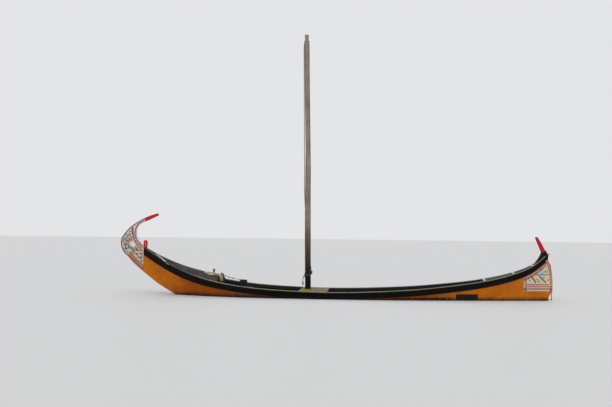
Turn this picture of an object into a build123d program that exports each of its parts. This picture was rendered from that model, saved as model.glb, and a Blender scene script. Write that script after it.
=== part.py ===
from build123d import *
import math
import os

# A flat-bottomed lagoon sailing boat with a high curled bow, in millimetres.
# X runs along the boat with the bow at -X, Y across it with port at -Y,
# and Z up from the underside of the flat bottom.

os.makedirs("parts", exist_ok=True)

# Lines of the hull, outside the planking. Columns: x, half breadth at the
# sheer, height of the sheer, half breadth at the chine, height of the chine.
hull_lines = [
    (-6650, 95, 1865, 45, 1010),
    (-6200, 255, 1588, 52, 655),
    (-5700, 450, 1318, 80, 357),
    (-5000, 700, 1030, 250, 62),
    (-4000, 970, 758, 620, 0),
    (-2500, 1180, 556, 850, 0),
    (0, 1250, 466, 950, 0),
    (2500, 1120, 565, 850, 0),
    (4000, 860, 719, 640, 0),
    (5300, 630, 911, 410, 14),
    (6300, 395, 1170, 220, 55),
    (6850, 235, 1396, 115, 88),
    (7250, 85, 1745, 45, 120),
]
stem_joint = hull_lines[0][0]
post_joint = hull_lines[-1][0]
station_pitch = 500

# Planking, sheer band and gunwale cap.
plank = 30
strake_share = 0.5
bottom_strakes = 5
bottom_edge = 640
seam = 4
stem_foot_end = -5150
band_height = 205
band_swell = 45
band_swell_fore = -5000
band_swell_aft = -3600
band_out = 30
cap_height = 22
cap_overhang = 6
cap_in = 75

# Floor timbers, side frames and inner wales of the hold.
floor_height = 80
frame_depth = 60
frame_width = 55
wale_depth = 40
wale_height = 90
floor_board = 22
floor_board_edges = ((175, 400), (412, 637))
floor_board_overrun = 60

# Decks, their beams and the bulkheads at their inner ends.
deck_board = 25
deck_boards = 8
fore_deck_end = -3900
aft_deck_start = 5120
breasthook_end = -6380
fore_camber = 0.19
aft_camber = 0.05
beam_depth = 70
beam_width = 60
bulkhead = 25
breasthook_depth = 60
batten_width = 60
batten_height = 22
batten_places = (5160, 6150, 6810)
batten_lift = 0.3

# Doorway and door of the cuddy under the foredeck.
door_width = 480
door_height = 480
door_sill = 190
door_gap = 6
pin_radius = 7
pin_gap = 0.3
knuckle_radius = 13
knuckle_length = 60
knuckle_gap = 1
lug_thickness = 11
lug_reach = 40
strap_length = 300
strap_width = 40
strap_thickness = 4
hinge_levels = (280, 580)

# Mast, with its heel tenon and its head spigot, leaning towards the bow.
mast_x = -836
mast_level = 474
mast_lean = 0.935
mast_radius = 100
mast_top = 9411
spigot_height = 212
spigot_radius = 70
tenon = 110
tenon_depth = 80
tenon_gap = 4
heel_gap = 0.3

# Mast step, partner block and thwart.
step_length = 900
step_width = 300
step_height = 120
partner_gap = 4
partner_length = 420
partner_height = 80
thwart_fore = -1090
thwart_aft = -130
thwart_boards = 5
thwart_beam_width = 90
thwart_beam_depth = 130

# Seats between the side planks, under the inner wales.
seat_width = 260
seat_board = 40
seat_places = (-2980, 2600)

# Blade of the bow, outline in X and Z, and its half thicknesses.
blade_head_half = 27
blade_edge_half = 30
blade_edge_x = -7520
blade_head_z = 3100
blade_root = 600
wedge_overlap = 60
tip_joint = -6650
tip_joint_low = 2500

# Stern post, horn and bow bitts, half thicknesses and places.
post_edge_half = 32
post_edge_x = 7520
post_head_half = 60
post_head_z = 2050
horn_half = 38
bitt_x = -6615
bitt_length = 62
bitt_foot = (68, 118)
bitt_bulge = 168
bitt_wall = 42
bitt_tip = 104
bitt_tip_width = 20
bitt_middle_z = 1985
bitt_head_z = 2128

# Rudder eye at the head of the stern post, and the guide rod at its foot.
eye_x = 7388
eye_z = 1819
eye_radius = 24
eye_bore = 11
eye_height = 26
eye_bar_half = 17
guide_x = 7474
guide_radius = 12
guide_low = 255
guide_high = 560
guide_bracket_z = 275
guide_bracket = 14

# Gear on the aft edge of the foredeck and on the fore seat.
cleat_x = -3995
cleat_y = 690
cleat_half = 75
cleat_horn_tip = 56
cleat_horn_root = 32
cleat_rise = 70
cleat_waist = 30
cleat_horn_lift = 8
cleat_thickness = 56
deck_post_x = -4150
deck_post_radius = 34
deck_post_height = 165
deck_post_flare = 12
block_length = 240
block_width = 200
block_height = 325
block_y = -800
block_chamfer = 28
hank_low = -430
hank_high = -200
hank_fore = -4500
hank_drop = 165
hank_thickness = 95
hank_rise = 40
hank_tail = 66

above = 400
beyond = 3000


def fair(column, x):
    """One column of the hull lines at any x, on a smooth curve through its rows."""
    last = len(hull_lines) - 1

    def slope(i):
        low, high = hull_lines[max(i - 1, 0)], hull_lines[min(i + 1, last)]
        return (high[column] - low[column]) / (high[0] - low[0])

    index = max(i for i in range(last) if hull_lines[i][0] <= max(x, stem_joint))
    a, b = hull_lines[index], hull_lines[index + 1]
    span = b[0] - a[0]
    t = (x - a[0]) / span
    value = (2 * t**3 - 3 * t**2 + 1) * a[column] + (t**3 - 2 * t**2 + t) * span * slope(index)
    value += (3 * t**2 - 2 * t**3) * b[column] + (t**3 - t**2) * span * slope(index + 1)
    return value


# The planks run straight from each station to the next, as they bend over the frames.
stations = list(range(stem_joint, post_joint - station_pitch // 2, station_pitch)) + [post_joint]
station_rows = {x: [fair(column, x) for column in range(1, 5)] for x in stations}
for row in station_rows.values():
    row[3] = max(row[3], 0)


def lines_at(x):
    """Sheer and chine half breadths and heights at x, straight between stations."""
    low = max((s for s in stations if s <= x), default=stations[0])
    high = min((s for s in stations if s > low), default=low)
    if high == low:
        return station_rows[low]
    t = (x - low) / (high - low)
    return [a + t * (b - a) for a, b in zip(station_rows[low], station_rows[high])]


def span(x_low, x_high):
    """The two limits and every station between them."""
    return [x_low] + [x for x in stations if x_low < x < x_high] + [x_high]


def side_point(x, height, inset=0, at="sheer"):
    """A point on the starboard side: a height above the chine or the sheer, and an inset."""
    sheer_y, sheer_z, chine_y, chine_z = lines_at(x)
    z = height + (sheer_z if at == "sheer" else chine_z)
    if at == "share":
        z = chine_z + height * (sheer_z - chine_z)
    share = (z - chine_z) / (sheer_z - chine_z)
    return Vector(x, chine_y + share * (sheer_y - chine_y) - inset, z)


def band_low(x, inset=0):
    """The lower edge of the sheer band, which is deeper towards the bow."""
    swell = (band_swell_aft - x) / (band_swell_aft - band_swell_fore)
    return side_point(x, -band_height - band_swell * min(max(swell, 0), 1), inset)


def skin(sections):
    """A solid of flat faces through closed sections that have as many points each."""
    faces = []
    for ring in (sections[0], sections[-1]):
        faces.append(Face(Wire.make_polygon(ring, close=True)))
    for near, far in zip(sections, sections[1:]):
        for k in range(len(near)):
            a, b = near[k - 1], near[k]
            c, d = far[k], far[k - 1]
            if abs((b - a).cross(d - a).dot(c - a)) < 1:
                corners = [[a, b, c, d]]
            elif (abs(a.Y), a.Z) > (abs(b.Y), b.Z):
                corners = [[a, b, c], [a, c, d]]
            else:
                corners = [[a, b, d], [b, c, d]]
            faces += [Face(Wire.make_polygon(loop, close=True)) for loop in corners]
    return Solid(Shell(faces))


def run(x_low, x_high, *corners):
    """A timber along the boat: each corner is a function of x that gives a point."""
    return skin([[corner(x) for corner in corners] for x in span(x_low, x_high)])


def both_sides(node, starboard):
    """Write a starboard piece and its mirror image to port."""
    write(f"{node}_starboard", starboard)
    write(f"{node}_port", mirror(starboard, about=Plane.XZ))


def write(node, shape):
    """Write one node's solids to its own file."""
    solids = []
    for piece in shape if isinstance(shape, (list, tuple, ShapeList)) else [shape]:
        solids += piece.solids()
    export_step(solids[0] if len(solids) == 1 else Compound(children=solids), f"parts/{node}.step")


def slab(x_low, x_high, z_low=-beyond, z_high=beyond, y_low=-beyond, y_high=beyond):
    """A plain block between two X planes, and between Z and Y limits."""
    size = (x_high - x_low, y_high - y_low, z_high - z_low)
    centre = ((x_low + x_high) / 2, (y_low + y_high) / 2, (z_low + z_high) / 2)
    return Pos(*centre) * Box(*size)


def prism(outline, y_low, y_high):
    """A closed outline of the XZ plane, extruded between two Y planes."""
    face = make_face(Plane.XZ * outline)
    return Pos(0, y_low, 0) * extrude(face, amount=y_high - y_low, dir=(0, 1, 0))


def port_point(point):
    """The same point on the port side."""
    return Vector(point.X, -point.Y, point.Z)


def form(x_low, x_high, *corners):
    """A solid across the whole boat, from the starboard corners of its sections."""
    sections = []
    for x in span(x_low, x_high):
        ring = [corner(x) for corner in corners]
        sections.append(ring + [port_point(p) for p in reversed(ring)])
    return skin(sections)


# Space inside the planking, with the same creases as the planks' inner faces.
inner = form(
    stem_joint,
    post_joint,
    lambda x: side_point(x, 0, plank, "chine"),
    lambda x: side_point(x, plank, plank, "chine"),
    lambda x: side_point(x, strake_share, plank, "share"),
    lambda x: side_point(x, 0, plank),
    lambda x: side_point(x, 0, plank) + Vector(0, 0, above),
)


def layer(low, high, x_low=stem_joint, x_high=post_joint, at="chine"):
    """A level layer between two heights above the chine or the sheer, as wide as needed."""
    corners = []
    for height in (low, high):
        corners.append(lambda x, height=height: Vector(x, beyond, side_point(x, height, 0, at).Z))
    return form(x_low, x_high, *corners)


# Side planking in two strakes a side, the sheer band outside it and the cap on both.
lower_strake = run(
    stem_joint,
    post_joint,
    lambda x: side_point(x, 0, 0, "chine"),
    lambda x: side_point(x, strake_share, 0, "share"),
    lambda x: side_point(x, strake_share, plank, "share"),
    lambda x: side_point(x, plank, plank, "chine"),
    lambda x: side_point(x, 0, plank, "chine"),
)
upper_strake = run(
    stem_joint,
    post_joint,
    lambda x: side_point(x, strake_share, 0, "share"),
    band_low,
    lambda x: side_point(x, 0),
    lambda x: side_point(x, 0, plank),
    lambda x: side_point(x, strake_share, plank, "share"),
)
sheer_band = run(
    stem_joint,
    post_joint,
    band_low,
    lambda x: band_low(x, -band_out),
    lambda x: side_point(x, 0, -band_out),
    lambda x: side_point(x, 0),
)


def cap_point(inset, height):
    """A corner of the gunwale cap, as a function of x."""
    return lambda x: side_point(x, 0, inset) + Vector(0, 0, height)


cap_outer = -band_out - cap_overhang
gunwale_cap = run(
    stem_joint,
    post_joint,
    cap_point(cap_outer, 0),
    cap_point(cap_outer, cap_height),
    cap_point(cap_in, cap_height),
    cap_point(cap_in, 0),
)
both_sides("side_lower_strake", lower_strake)
both_sides("side_upper_strake", upper_strake)
both_sides("sheer_band", sheer_band)
both_sides("gunwale_cap", gunwale_cap)

# Bottom planks and the stem foot that carries them up to the bow.
planking_layer = layer(0, plank) & inner
bottom = planking_layer & slab(stem_foot_end, post_joint)
for index in range(1, bottom_strakes):
    y = bottom_edge * (2 * index / bottom_strakes - 1)
    bottom = bottom - slab(stem_foot_end, post_joint, y_low=y - seam / 2, y_high=y + seam / 2)
write("bottom_planks", bottom)
write("stem_foot", planking_layer & slab(stem_joint, stem_foot_end))

# Floor timbers and side frames at the stations of the hold, and the inner wales.
hold_fore = fore_deck_end + bulkhead
hold_aft = aft_deck_start - bulkhead
frame_places = [x for x in stations if hold_fore + frame_width < x < hold_aft - frame_width]
frame_slabs = [slab(x - frame_width / 2, x + frame_width / 2) for x in frame_places]
starboard_half = slab(stem_joint, post_joint, y_low=0)
frame_space = form(
    hold_fore,
    hold_aft,
    lambda x: side_point(x, 0, plank + frame_depth, "chine"),
    lambda x: side_point(x, 0, plank + frame_depth),
    lambda x: side_point(x, 0, plank + frame_depth) + Vector(0, 0, above),
)
wale_space = form(
    hold_fore,
    hold_aft,
    lambda x: side_point(x, 0, plank + frame_depth + wale_depth, "chine"),
    lambda x: side_point(x, 0, plank + frame_depth + wale_depth),
    lambda x: side_point(x, 0, plank + frame_depth + wale_depth) + Vector(0, 0, above),
)
floor_body = layer(plank, plank + floor_height, hold_fore, hold_aft) & inner
write("floor_timbers", [floor_body & piece for piece in frame_slabs])
above_floors = form(
    hold_fore,
    hold_aft,
    lambda x: Vector(x, beyond, side_point(x, plank + floor_height, 0, "chine").Z),
    lambda x: Vector(x, beyond, side_point(x, 0).Z),
)
frame_body = (inner & above_floors & starboard_half) - frame_space
both_sides("side_frames", [frame_body & piece for piece in frame_slabs])
wale_layer = layer(-wale_height, 0, hold_fore, hold_aft, "sheer")
both_sides("inner_wale", (frame_space & starboard_half & wale_layer) - wale_space)

# Floor boards laid along the hold on the floor timbers, clear of the mast step.
board_levels = (plank + floor_height, plank + floor_height + floor_board)
board_ends = (frame_places[0] - floor_board_overrun, frame_places[-1] + floor_board_overrun)
board_layer = layer(*board_levels, *board_ends) & frame_space
floor_boards = []
for low, high in floor_board_edges:
    floor_boards.append(board_layer & slab(hold_fore, hold_aft, y_low=low, y_high=high))
    floor_boards.append(board_layer & slab(hold_fore, hold_aft, y_low=-high, y_high=-low))
write("floor_boards", floor_boards)


def crown_point(share, height, camber):
    """A point across a deck, as a share of its half breadth, on the edges of its flat boards."""
    step = 2 / deck_boards
    low = math.floor((share + 1) / step - 1e-9) * step - 1
    low = max(-1, min(1 - step, low))

    def place(x):
        sheer_y, sheer_z, _, _ = lines_at(x)
        rise = [camber * sheer_y * (1 - t * t) for t in (low, low + step)]
        blend = (share - low) / step
        z = sheer_z + height + rise[0] + blend * (rise[1] - rise[0])
        return Vector(x, share * (sheer_y - cap_in), z)

    return place


def deck(x_low, x_high, camber):
    """Flat deck boards from cap to cap, each with open seams beside it."""
    boards = []
    for index in range(deck_boards):
        left = 2 * index / deck_boards - 1
        right = left + 2 / deck_boards
        middle = lines_at((x_low + x_high) / 2)[0] - cap_in
        left += seam / 2 / middle if index else 0
        right -= seam / 2 / middle if index < deck_boards - 1 else 0
        low, high = cap_height - deck_board, cap_height
        corners = [
            crown_point(left, low, camber),
            crown_point(left, high, camber),
            crown_point(right, high, camber),
            crown_point(right, low, camber),
        ]
        boards.append(run(x_low, x_high, *corners))
    return boards


def under_deck(x_low, x_high, top, depth, camber):
    """The space under a deck, from a height at its edge down by a depth."""
    shares = [2 * index / deck_boards - 1 for index in range(deck_boards + 1)]

    def ring(x):
        crown = [crown_point(share, top, camber)(x) for share in shares]
        wing = Vector(0, cap_in, 0)
        crown = [crown[0] - wing] + crown + [crown[-1] + wing]
        return crown + [p - Vector(0, 0, depth) for p in reversed(crown)]

    return skin([ring(x) for x in span(x_low, x_high)])


deck_low = cap_height - deck_board
decks = (
    ("fore", breasthook_end, fore_deck_end, fore_camber, (-6150, -5650, -5150, -4650, -4150)),
    ("aft", aft_deck_start, post_joint, aft_camber, (5550, 6050, 6550)),
)
deck_pieces = {}
for name, x_low, x_high, camber, places in decks:
    boards = deck(x_low, x_high, camber)
    deck_pieces[name] = boards
    write(f"{name}_deck_planks", boards)
    under = under_deck(x_low, x_high, deck_low, beam_depth, camber) & inner
    beams = []
    for x in places:
        beam = under & slab(x - beam_width / 2, x + beam_width / 2)
        for board in boards:
            beam = beam - board
        beams.append(beam)
    write(f"{name}_deck_beams", beams)

# Battens across the aft deck.
batten_top = cap_height + batten_height
batten_body = under_deck(aft_deck_start, post_joint, batten_top, batten_height - batten_lift, aft_camber)
cap_gap = form(stem_joint, post_joint, cap_point(cap_in, 0), cap_point(cap_in, above))
battens = []
for x in batten_places:
    batten = batten_body & cap_gap & slab(x - batten_width / 2, x + batten_width / 2)
    for board in deck_pieces["aft"]:
        batten = batten - board
    battens.append(batten)
write("aft_deck_battens", battens)

# Breasthook between the caps at the bow.
hook_corners = (cap_point(cap_in, -breasthook_depth), cap_point(cap_in, cap_height))
breasthook = form(stem_joint, breasthook_end, *hook_corners)
write("breasthook", breasthook)

# Bulkheads under the inner ends of the decks, with the doorway in the fore one.
above_bottom = form(
    stem_joint,
    post_joint,
    lambda x: Vector(x, beyond, side_point(x, plank, 0, "chine").Z),
    lambda x: Vector(x, beyond, beyond),
)
walls = (
    ("fore", fore_deck_end, fore_deck_end + bulkhead, fore_camber),
    ("aft", aft_deck_start - bulkhead, aft_deck_start, aft_camber),
)
door_top = door_sill + door_height
doorway = slab(
    fore_deck_end,
    hold_fore,
    z_low=door_sill,
    z_high=door_top,
    y_low=-door_width / 2,
    y_high=door_width / 2,
)
bulkheads = {}
for name, x_low, x_high, camber in walls:
    bulkheads[name] = under_deck(x_low, x_high, deck_low, beyond, camber) & inner & above_bottom
write("fore_bulkhead", bulkheads["fore"] - doorway)
write("aft_bulkhead", bulkheads["aft"])

# Cuddy door, hung on two strap hinges at its port edge.
hinge_x = hold_fore + knuckle_radius + knuckle_gap
hinge_y = -door_width / 2
leaf = slab(
    fore_deck_end,
    hold_fore,
    z_low=door_sill + door_gap,
    z_high=door_top - door_gap,
    y_low=hinge_y + door_gap,
    y_high=-hinge_y - door_gap,
)
upright = (Align.CENTER, Align.CENTER, Align.CENTER)
straps = []
pintles = []
for z in hinge_levels:
    knuckle = Pos(hinge_x, hinge_y, z) * Cylinder(knuckle_radius, knuckle_length, align=upright)
    bore = Pos(hinge_x, hinge_y, z) * Cylinder(pin_radius + pin_gap, knuckle_length, align=upright)
    strap = slab(
        hold_fore,
        hold_fore + strap_thickness,
        z_low=z - strap_width / 2,
        z_high=z + strap_width / 2,
        y_low=hinge_y + door_gap,
        y_high=hinge_y + strap_length,
    )
    web = slab(
        hold_fore,
        hinge_x,
        z_low=z - strap_width / 2,
        z_high=z + strap_width / 2,
        y_low=hinge_y + door_gap,
        y_high=hinge_y + knuckle_radius,
    )
    straps.append((knuckle + strap + web) - bore)
    pin_length = knuckle_length + 2 * (knuckle_gap + lug_thickness)
    pin = Pos(hinge_x, hinge_y, z) * Cylinder(pin_radius, pin_length, align=upright)
    lug = slab(
        hold_fore,
        hinge_x,
        z_low=z - pin_length / 2,
        z_high=z - pin_length / 2 + lug_thickness,
        y_low=hinge_y - lug_reach,
        y_high=hinge_y + door_gap - knuckle_gap,
    )
    pintles.append(pin + lug + Pos(0, 0, pin_length - lug_thickness) * lug)
write("fore_door", leaf)
write("door_straps", straps)
write("door_pintles", pintles)

# Mast on its own axis, with its heel on the step and a tenon in the mortise.
mast_axis = Location((mast_x, 0, mast_level), (0, -mast_lean, 0))
step_base = plank + floor_height
step_top = step_base + step_height
from_below = (Align.CENTER, Align.CENTER, Align.MIN)


def on_axis(shape, low):
    """A shape that starts at a distance up the mast's axis from its thwart."""
    return mast_axis * Pos(0, 0, low) * shape


shoulder = mast_top - spigot_height - mast_level
foot = -mast_level
pole = on_axis(Cylinder(mast_radius, shoulder - foot, align=from_below), foot)
pole = pole - slab(-beyond, beyond, z_high=step_top + heel_gap)
spigot = on_axis(Cylinder(spigot_radius, spigot_height, align=from_below), shoulder)
tenon_bar = on_axis(Box(tenon, tenon, mast_level, align=from_below), foot)
tenon_low = step_top - tenon_depth + tenon_gap
tenon_bar = tenon_bar & slab(-beyond, beyond, z_low=tenon_low, z_high=step_top + heel_gap)
write("mast", pole + spigot + tenon_bar)
mortise_side = tenon + 2 * tenon_gap
mortise = on_axis(Box(mortise_side, mortise_side, mast_level, align=from_below), foot)
mortise = mortise & slab(-beyond, beyond, z_low=step_top - tenon_depth)
step = slab(
    mast_x - step_length / 2,
    mast_x + step_length / 2,
    z_low=step_base,
    z_high=step_top,
    y_low=-step_width / 2,
    y_high=step_width / 2,
)
write("mast_step", step - mortise)

# Mast thwart of boards across the boat, flush between the caps, its beams and partner block.
partner_hole = on_axis(Cylinder(mast_radius + partner_gap, 2 * above, align=from_below), -above)
board_pitch = (thwart_aft - thwart_fore + seam) / thwart_boards
thwart_layer = form(thwart_fore, thwart_aft, cap_point(cap_in, 0), cap_point(cap_in, cap_height))
thwart = []
for index in range(thwart_boards):
    x_low = thwart_fore + index * board_pitch
    thwart.append((thwart_layer & slab(x_low, x_low + board_pitch - seam)) - partner_hole)
write("mast_thwart", thwart)
beam_layer = layer(-thwart_beam_depth, 0, thwart_fore, thwart_aft, "sheer") & wale_space
thwart_beams = []
for x_low in (thwart_fore, mast_x + partner_length / 2, thwart_aft - thwart_beam_width):
    thwart_beams.append(beam_layer & slab(x_low, x_low + thwart_beam_width))
write("mast_thwart_beams", thwart_beams)
partner = layer(-partner_height, 0, thwart_fore, thwart_aft, "sheer") & slab(
    thwart_fore + thwart_beam_width,
    mast_x + partner_length / 2,
    y_low=-partner_length / 2,
    y_high=partner_length / 2,
)
write("mast_partner", partner - partner_hole)

# Seats.
seats = []
for x in seat_places:
    x_low, x_high = x - seat_width / 2, x + seat_width / 2
    seats.append(layer(-wale_height - seat_board, -wale_height, x_low, x_high, "sheer") & inner)
write("seat_thwarts", seats)

# Stem blade with its curl, in the plane of the keel.
sheer_height = hull_lines[0][2]
blade_outline = (
    Line((stem_joint, sheer_height), (stem_joint, 1010))
    + ThreePointArc((stem_joint, 1010), (-7000, 1310), (-7262, 1582))
    + ThreePointArc((-7262, 1582), (-7486, 1915), (-7476, 2199))
    + ThreePointArc((-7476, 2199), (-7229, 2524), (-6851, 2801))
    + ThreePointArc((-6851, 2801), (-6560, 2960), (-6275, 3058))
    + ThreePointArc((-6275, 3058), (-6180, 3066), (-6148, 3020))
    + ThreePointArc((-6148, 3020), (-6400, 2893), (-6700, 2768))
    + ThreePointArc((-6700, 2768), (-6890, 2630), (-6952, 2428))
    + ThreePointArc((-6952, 2428), (-6904, 2181), (-6812, 2058))
    + Line((-6812, 2058), (stem_joint, sheer_height))
)


def wedge(x_joint, x_edge, edge_half, top_z, top_half, extra):
    """A tapering body that starts on the hull's end section and thins to an edge."""
    sheer_y, sheer_z, chine_y, chine_z = station_rows[x_joint]
    flare = (sheer_y - chine_y) / (sheer_z - chine_z)
    low_z = chine_z - wedge_overlap
    low_y = chine_y - wedge_overlap * flare
    sections = []
    for x, halves in ((x_joint, (low_y, sheer_y, top_half)), (x_edge, (edge_half,) * 3)):
        ring = [Vector(x, half, z) for half, z in zip(halves, (low_z, sheer_z, top_z))]
        sections.append(ring + [port_point(p) for p in reversed(ring)])
    body = skin(sections)
    if extra:
        half = [(low_z, low_y), (sheer_z, sheer_y), (top_z, top_half)]
        ring = [Vector(x_joint, y, z) for z, y in half]
        ring = ring + [port_point(p) for p in reversed(ring)]
        body = body + extrude(Face(Wire.make_polygon(ring, close=True)), amount=extra, dir=(1, 0, 0))
    return body


blade_body = wedge(stem_joint, blade_edge_x, blade_edge_half, blade_head_z, blade_head_half, blade_root)
blade = blade_body & prism(blade_outline, -beyond, beyond)
tip_cut = slab(tip_joint, 0, z_low=tip_joint_low, z_high=2 * beyond)
write("stem_blade", blade - tip_cut)
write("stem_tip", blade & tip_cut)

# Stern post, and the horn on top of it.
post_outline = (
    Line((post_joint, 120), (7358, 253))
    + ThreePointArc((7358, 253), (7407, 440), (7497, 561))
    + ThreePointArc((7497, 561), (7500, 860), (7437, 1459))
    + Line((7437, 1459), (7336, 1628))
    + Line((7336, 1628), (7362, 1764))
    + Line((7362, 1764), (7268, 1950))
    + Line((7268, 1950), (post_joint, 1955))
    + Line((post_joint, 1955), (post_joint, 120))
)
post_body = wedge(post_joint, post_edge_x, post_edge_half, post_head_z, post_head_half, 0)
post = post_body & prism(post_outline, -beyond, beyond)
write("stern_post", post)
horn_outline = (
    Line((7150, 1400), (7117, 1880))
    + ThreePointArc((7117, 1880), (7010, 2150), (6911, 2395))
    + Line((6911, 2395), (6998, 2406))
    + ThreePointArc((6998, 2406), (7130, 2190), (post_joint, 1955))
    + Line((post_joint, 1955), (post_joint, 1400))
    + Line((post_joint, 1400), (7150, 1400))
)
aft_top = under_deck(aft_deck_start, post_joint, cap_height, above, aft_camber)
horn = prism(horn_outline, -horn_half, horn_half)
write("stern_horn", horn - layer(-above, cap_height, at="sheer") - aft_top)

# Pair of horned bitts on the caps behind the curl, bowed outwards.
foot_in, foot_out = bitt_foot
foot_z = sheer_height - cap_height
tip_in = bitt_tip - bitt_tip_width
bitt_outline = (
    ThreePointArc((foot_out, foot_z), (bitt_bulge, bitt_middle_z), (bitt_tip, bitt_head_z))
    + Line((bitt_tip, bitt_head_z), (tip_in, bitt_head_z - bitt_tip_width / 2))
    + ThreePointArc(
        (tip_in, bitt_head_z - bitt_tip_width / 2),
        (bitt_bulge - bitt_wall, bitt_middle_z),
        (foot_in, foot_z),
    )
    + Line((foot_in, foot_z), (foot_in, foot_z - bitt_length))
    + Line((foot_in, foot_z - bitt_length), (foot_out, foot_z - bitt_length))
    + Line((foot_out, foot_z - bitt_length), (foot_out, foot_z))
)
bitt_face = make_face(Plane.YZ * bitt_outline)
bitt = Pos(bitt_x - bitt_length / 2, 0, 0) * extrude(bitt_face, amount=bitt_length, dir=(1, 0, 0))
bitt = bitt - layer(-above, cap_height, stem_joint, breasthook_end, "sheer")
write("bow_bitts", [bitt, mirror(bitt, about=Plane.XZ)])

# Rudder eye at the head of the stern post, and the guide rod with its bracket at the foot.
eye_bar = slab(
    eye_x - 2 * eye_radius - post_head_half,
    eye_x,
    z_low=eye_z - eye_height / 2,
    z_high=eye_z + eye_height / 2,
    y_low=-eye_bar_half,
    y_high=eye_bar_half,
)
eye = eye_bar + Pos(eye_x, 0, eye_z) * Cylinder(eye_radius, eye_height, align=upright)
eye = eye - Pos(eye_x, 0, eye_z) * Cylinder(eye_bore, 2 * eye_height, align=upright) - post
guide = Pos(guide_x, 0, guide_low) * Cylinder(guide_radius, guide_high - guide_low, align=from_below)
guide_plate = slab(
    post_joint,
    guide_x,
    z_low=guide_bracket_z,
    z_high=guide_bracket_z + guide_bracket,
    y_low=-guide_radius,
    y_high=guide_radius,
)
write("rudder_irons", [eye, (guide + guide_plate) - post])

# Two-horned cleat and short post on the foredeck, both standing on its boards.
fore_top = under_deck(breasthook_end, fore_deck_end, cap_height, above, fore_camber)


def deck_level(x, y):
    """The height of the foredeck's top at a place."""
    return crown_point(y / (lines_at(x)[0] - cap_in), cap_height, fore_camber)(x).Z


def on_fore_deck(shape):
    """What is left of a shape above the foredeck and its boards."""
    shape = shape - fore_top
    for board in deck_pieces["fore"]:
        shape = shape - board
    return shape


cleat_z = deck_level(cleat_x, cleat_y)
cleat_corners = [
    (-cleat_half, -cleat_rise),
    (-cleat_half, cleat_rise),
    (-cleat_horn_tip, cleat_rise + cleat_horn_lift),
    (-cleat_horn_root, cleat_waist),
    (cleat_horn_root, cleat_waist),
    (cleat_horn_tip, cleat_rise + cleat_horn_lift),
    (cleat_half, cleat_rise),
    (cleat_half, -cleat_rise),
]
cleat_outline = Polyline([(cleat_x + x, cleat_z + z) for x, z in cleat_corners], close=True)
cleat = prism(cleat_outline, cleat_y - cleat_thickness / 2, cleat_y + cleat_thickness / 2)
write("deck_cleat", on_fore_deck(cleat))
post_foot = deck_level(deck_post_x, 0) - deck_post_height
post_shaft = Cylinder(deck_post_radius, 2 * deck_post_height, align=from_below)
post_cap = Cylinder(deck_post_radius + deck_post_flare, 2 * deck_post_flare, align=from_below)
post_cap = Pos(0, 0, 2 * (deck_post_height - deck_post_flare)) * post_cap
write("deck_post", on_fore_deck(Pos(deck_post_x, 0, post_foot) * (post_shaft + post_cap)))

# Mooring block on the fore seat, with its upper edges chamfered.
block_x = seat_places[0]
block_foot = lines_at(block_x)[1] - wale_height
block = slab(
    block_x - block_length / 2,
    block_x + block_length / 2,
    z_low=block_foot - wale_height,
    z_high=block_foot + block_height,
    y_low=block_y - block_width / 2,
    y_high=block_y + block_width / 2,
)
block = chamfer(block.edges().group_by(Axis.Z)[-1], block_chamfer)
under_seat = layer(-above, -wale_height, block_x - seat_width / 2, block_x + seat_width / 2, "sheer")
write("mooring_block", block - under_seat)

# Rope hank, laid on the foredeck and hung over its after edge.
edge_z = deck_level(fore_deck_end, (hank_low + hank_high) / 2)
tail_z = deck_level(hank_fore, hank_low)
bend_x = fore_deck_end - 2 * hank_thickness
outer_x = hold_fore + hank_thickness
bend_z = edge_z + hank_thickness + hank_rise
hank_points = [
    (hold_fore, edge_z - hank_drop),
    (hold_fore, edge_z - above),
    (hank_fore, tail_z - above / 2),
    (hank_fore, tail_z + hank_tail),
    (bend_x, bend_z),
]
hank_outline = Polyline(hank_points) + ThreePointArc(
    (bend_x, bend_z),
    (fore_deck_end, edge_z + hank_thickness + hank_rise / 4),
    (outer_x, edge_z - hank_thickness / 2),
)
hank_outline = hank_outline + Polyline([
    (outer_x, edge_z - hank_thickness / 2),
    (outer_x - hank_rise / 2, edge_z - hank_drop),
    (hold_fore, edge_z - hank_drop),
])
hank = on_fore_deck(prism(hank_outline, hank_low, hank_high)) - bulkheads["fore"]
write("rope_hank", hank - slab(-2 * beyond, hold_fore, z_high=edge_z - deck_board))
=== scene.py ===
"""Dressing of a flat-bottomed lagoon sailing boat with a high curled bow.

X runs along the boat with the bow at -X, Y runs across it with port at -Y, and
Z runs up from the flat bottom. Everything is in metres. The boat floats with
its waterline at the level of the floor.
"""

from __future__ import annotations

import logging
import math
from contextlib import contextmanager
from dataclasses import dataclass, field, replace
from enum import Enum
from typing import Callable, Iterator, Sequence

import bmesh
import bpy
from mathutils import Matrix, Vector, noise
from mathutils.bvhtree import BVHTree


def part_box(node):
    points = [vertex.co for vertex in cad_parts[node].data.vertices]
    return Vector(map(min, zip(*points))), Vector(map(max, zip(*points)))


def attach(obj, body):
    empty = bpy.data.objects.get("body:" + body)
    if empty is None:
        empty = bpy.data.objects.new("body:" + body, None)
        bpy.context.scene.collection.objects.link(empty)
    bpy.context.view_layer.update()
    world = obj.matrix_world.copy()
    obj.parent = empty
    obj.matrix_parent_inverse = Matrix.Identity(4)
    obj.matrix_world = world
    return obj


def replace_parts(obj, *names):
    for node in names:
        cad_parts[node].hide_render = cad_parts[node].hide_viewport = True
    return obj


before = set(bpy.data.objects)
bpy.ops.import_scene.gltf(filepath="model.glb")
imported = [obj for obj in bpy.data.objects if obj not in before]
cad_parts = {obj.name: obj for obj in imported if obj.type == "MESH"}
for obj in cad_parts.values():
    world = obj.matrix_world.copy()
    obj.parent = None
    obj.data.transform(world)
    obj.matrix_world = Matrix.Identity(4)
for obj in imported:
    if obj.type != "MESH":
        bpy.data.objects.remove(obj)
LOG = logging.getLogger("boat")
WATERLINE = 0.24
MERGE_DISTANCE = 0.00002
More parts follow.
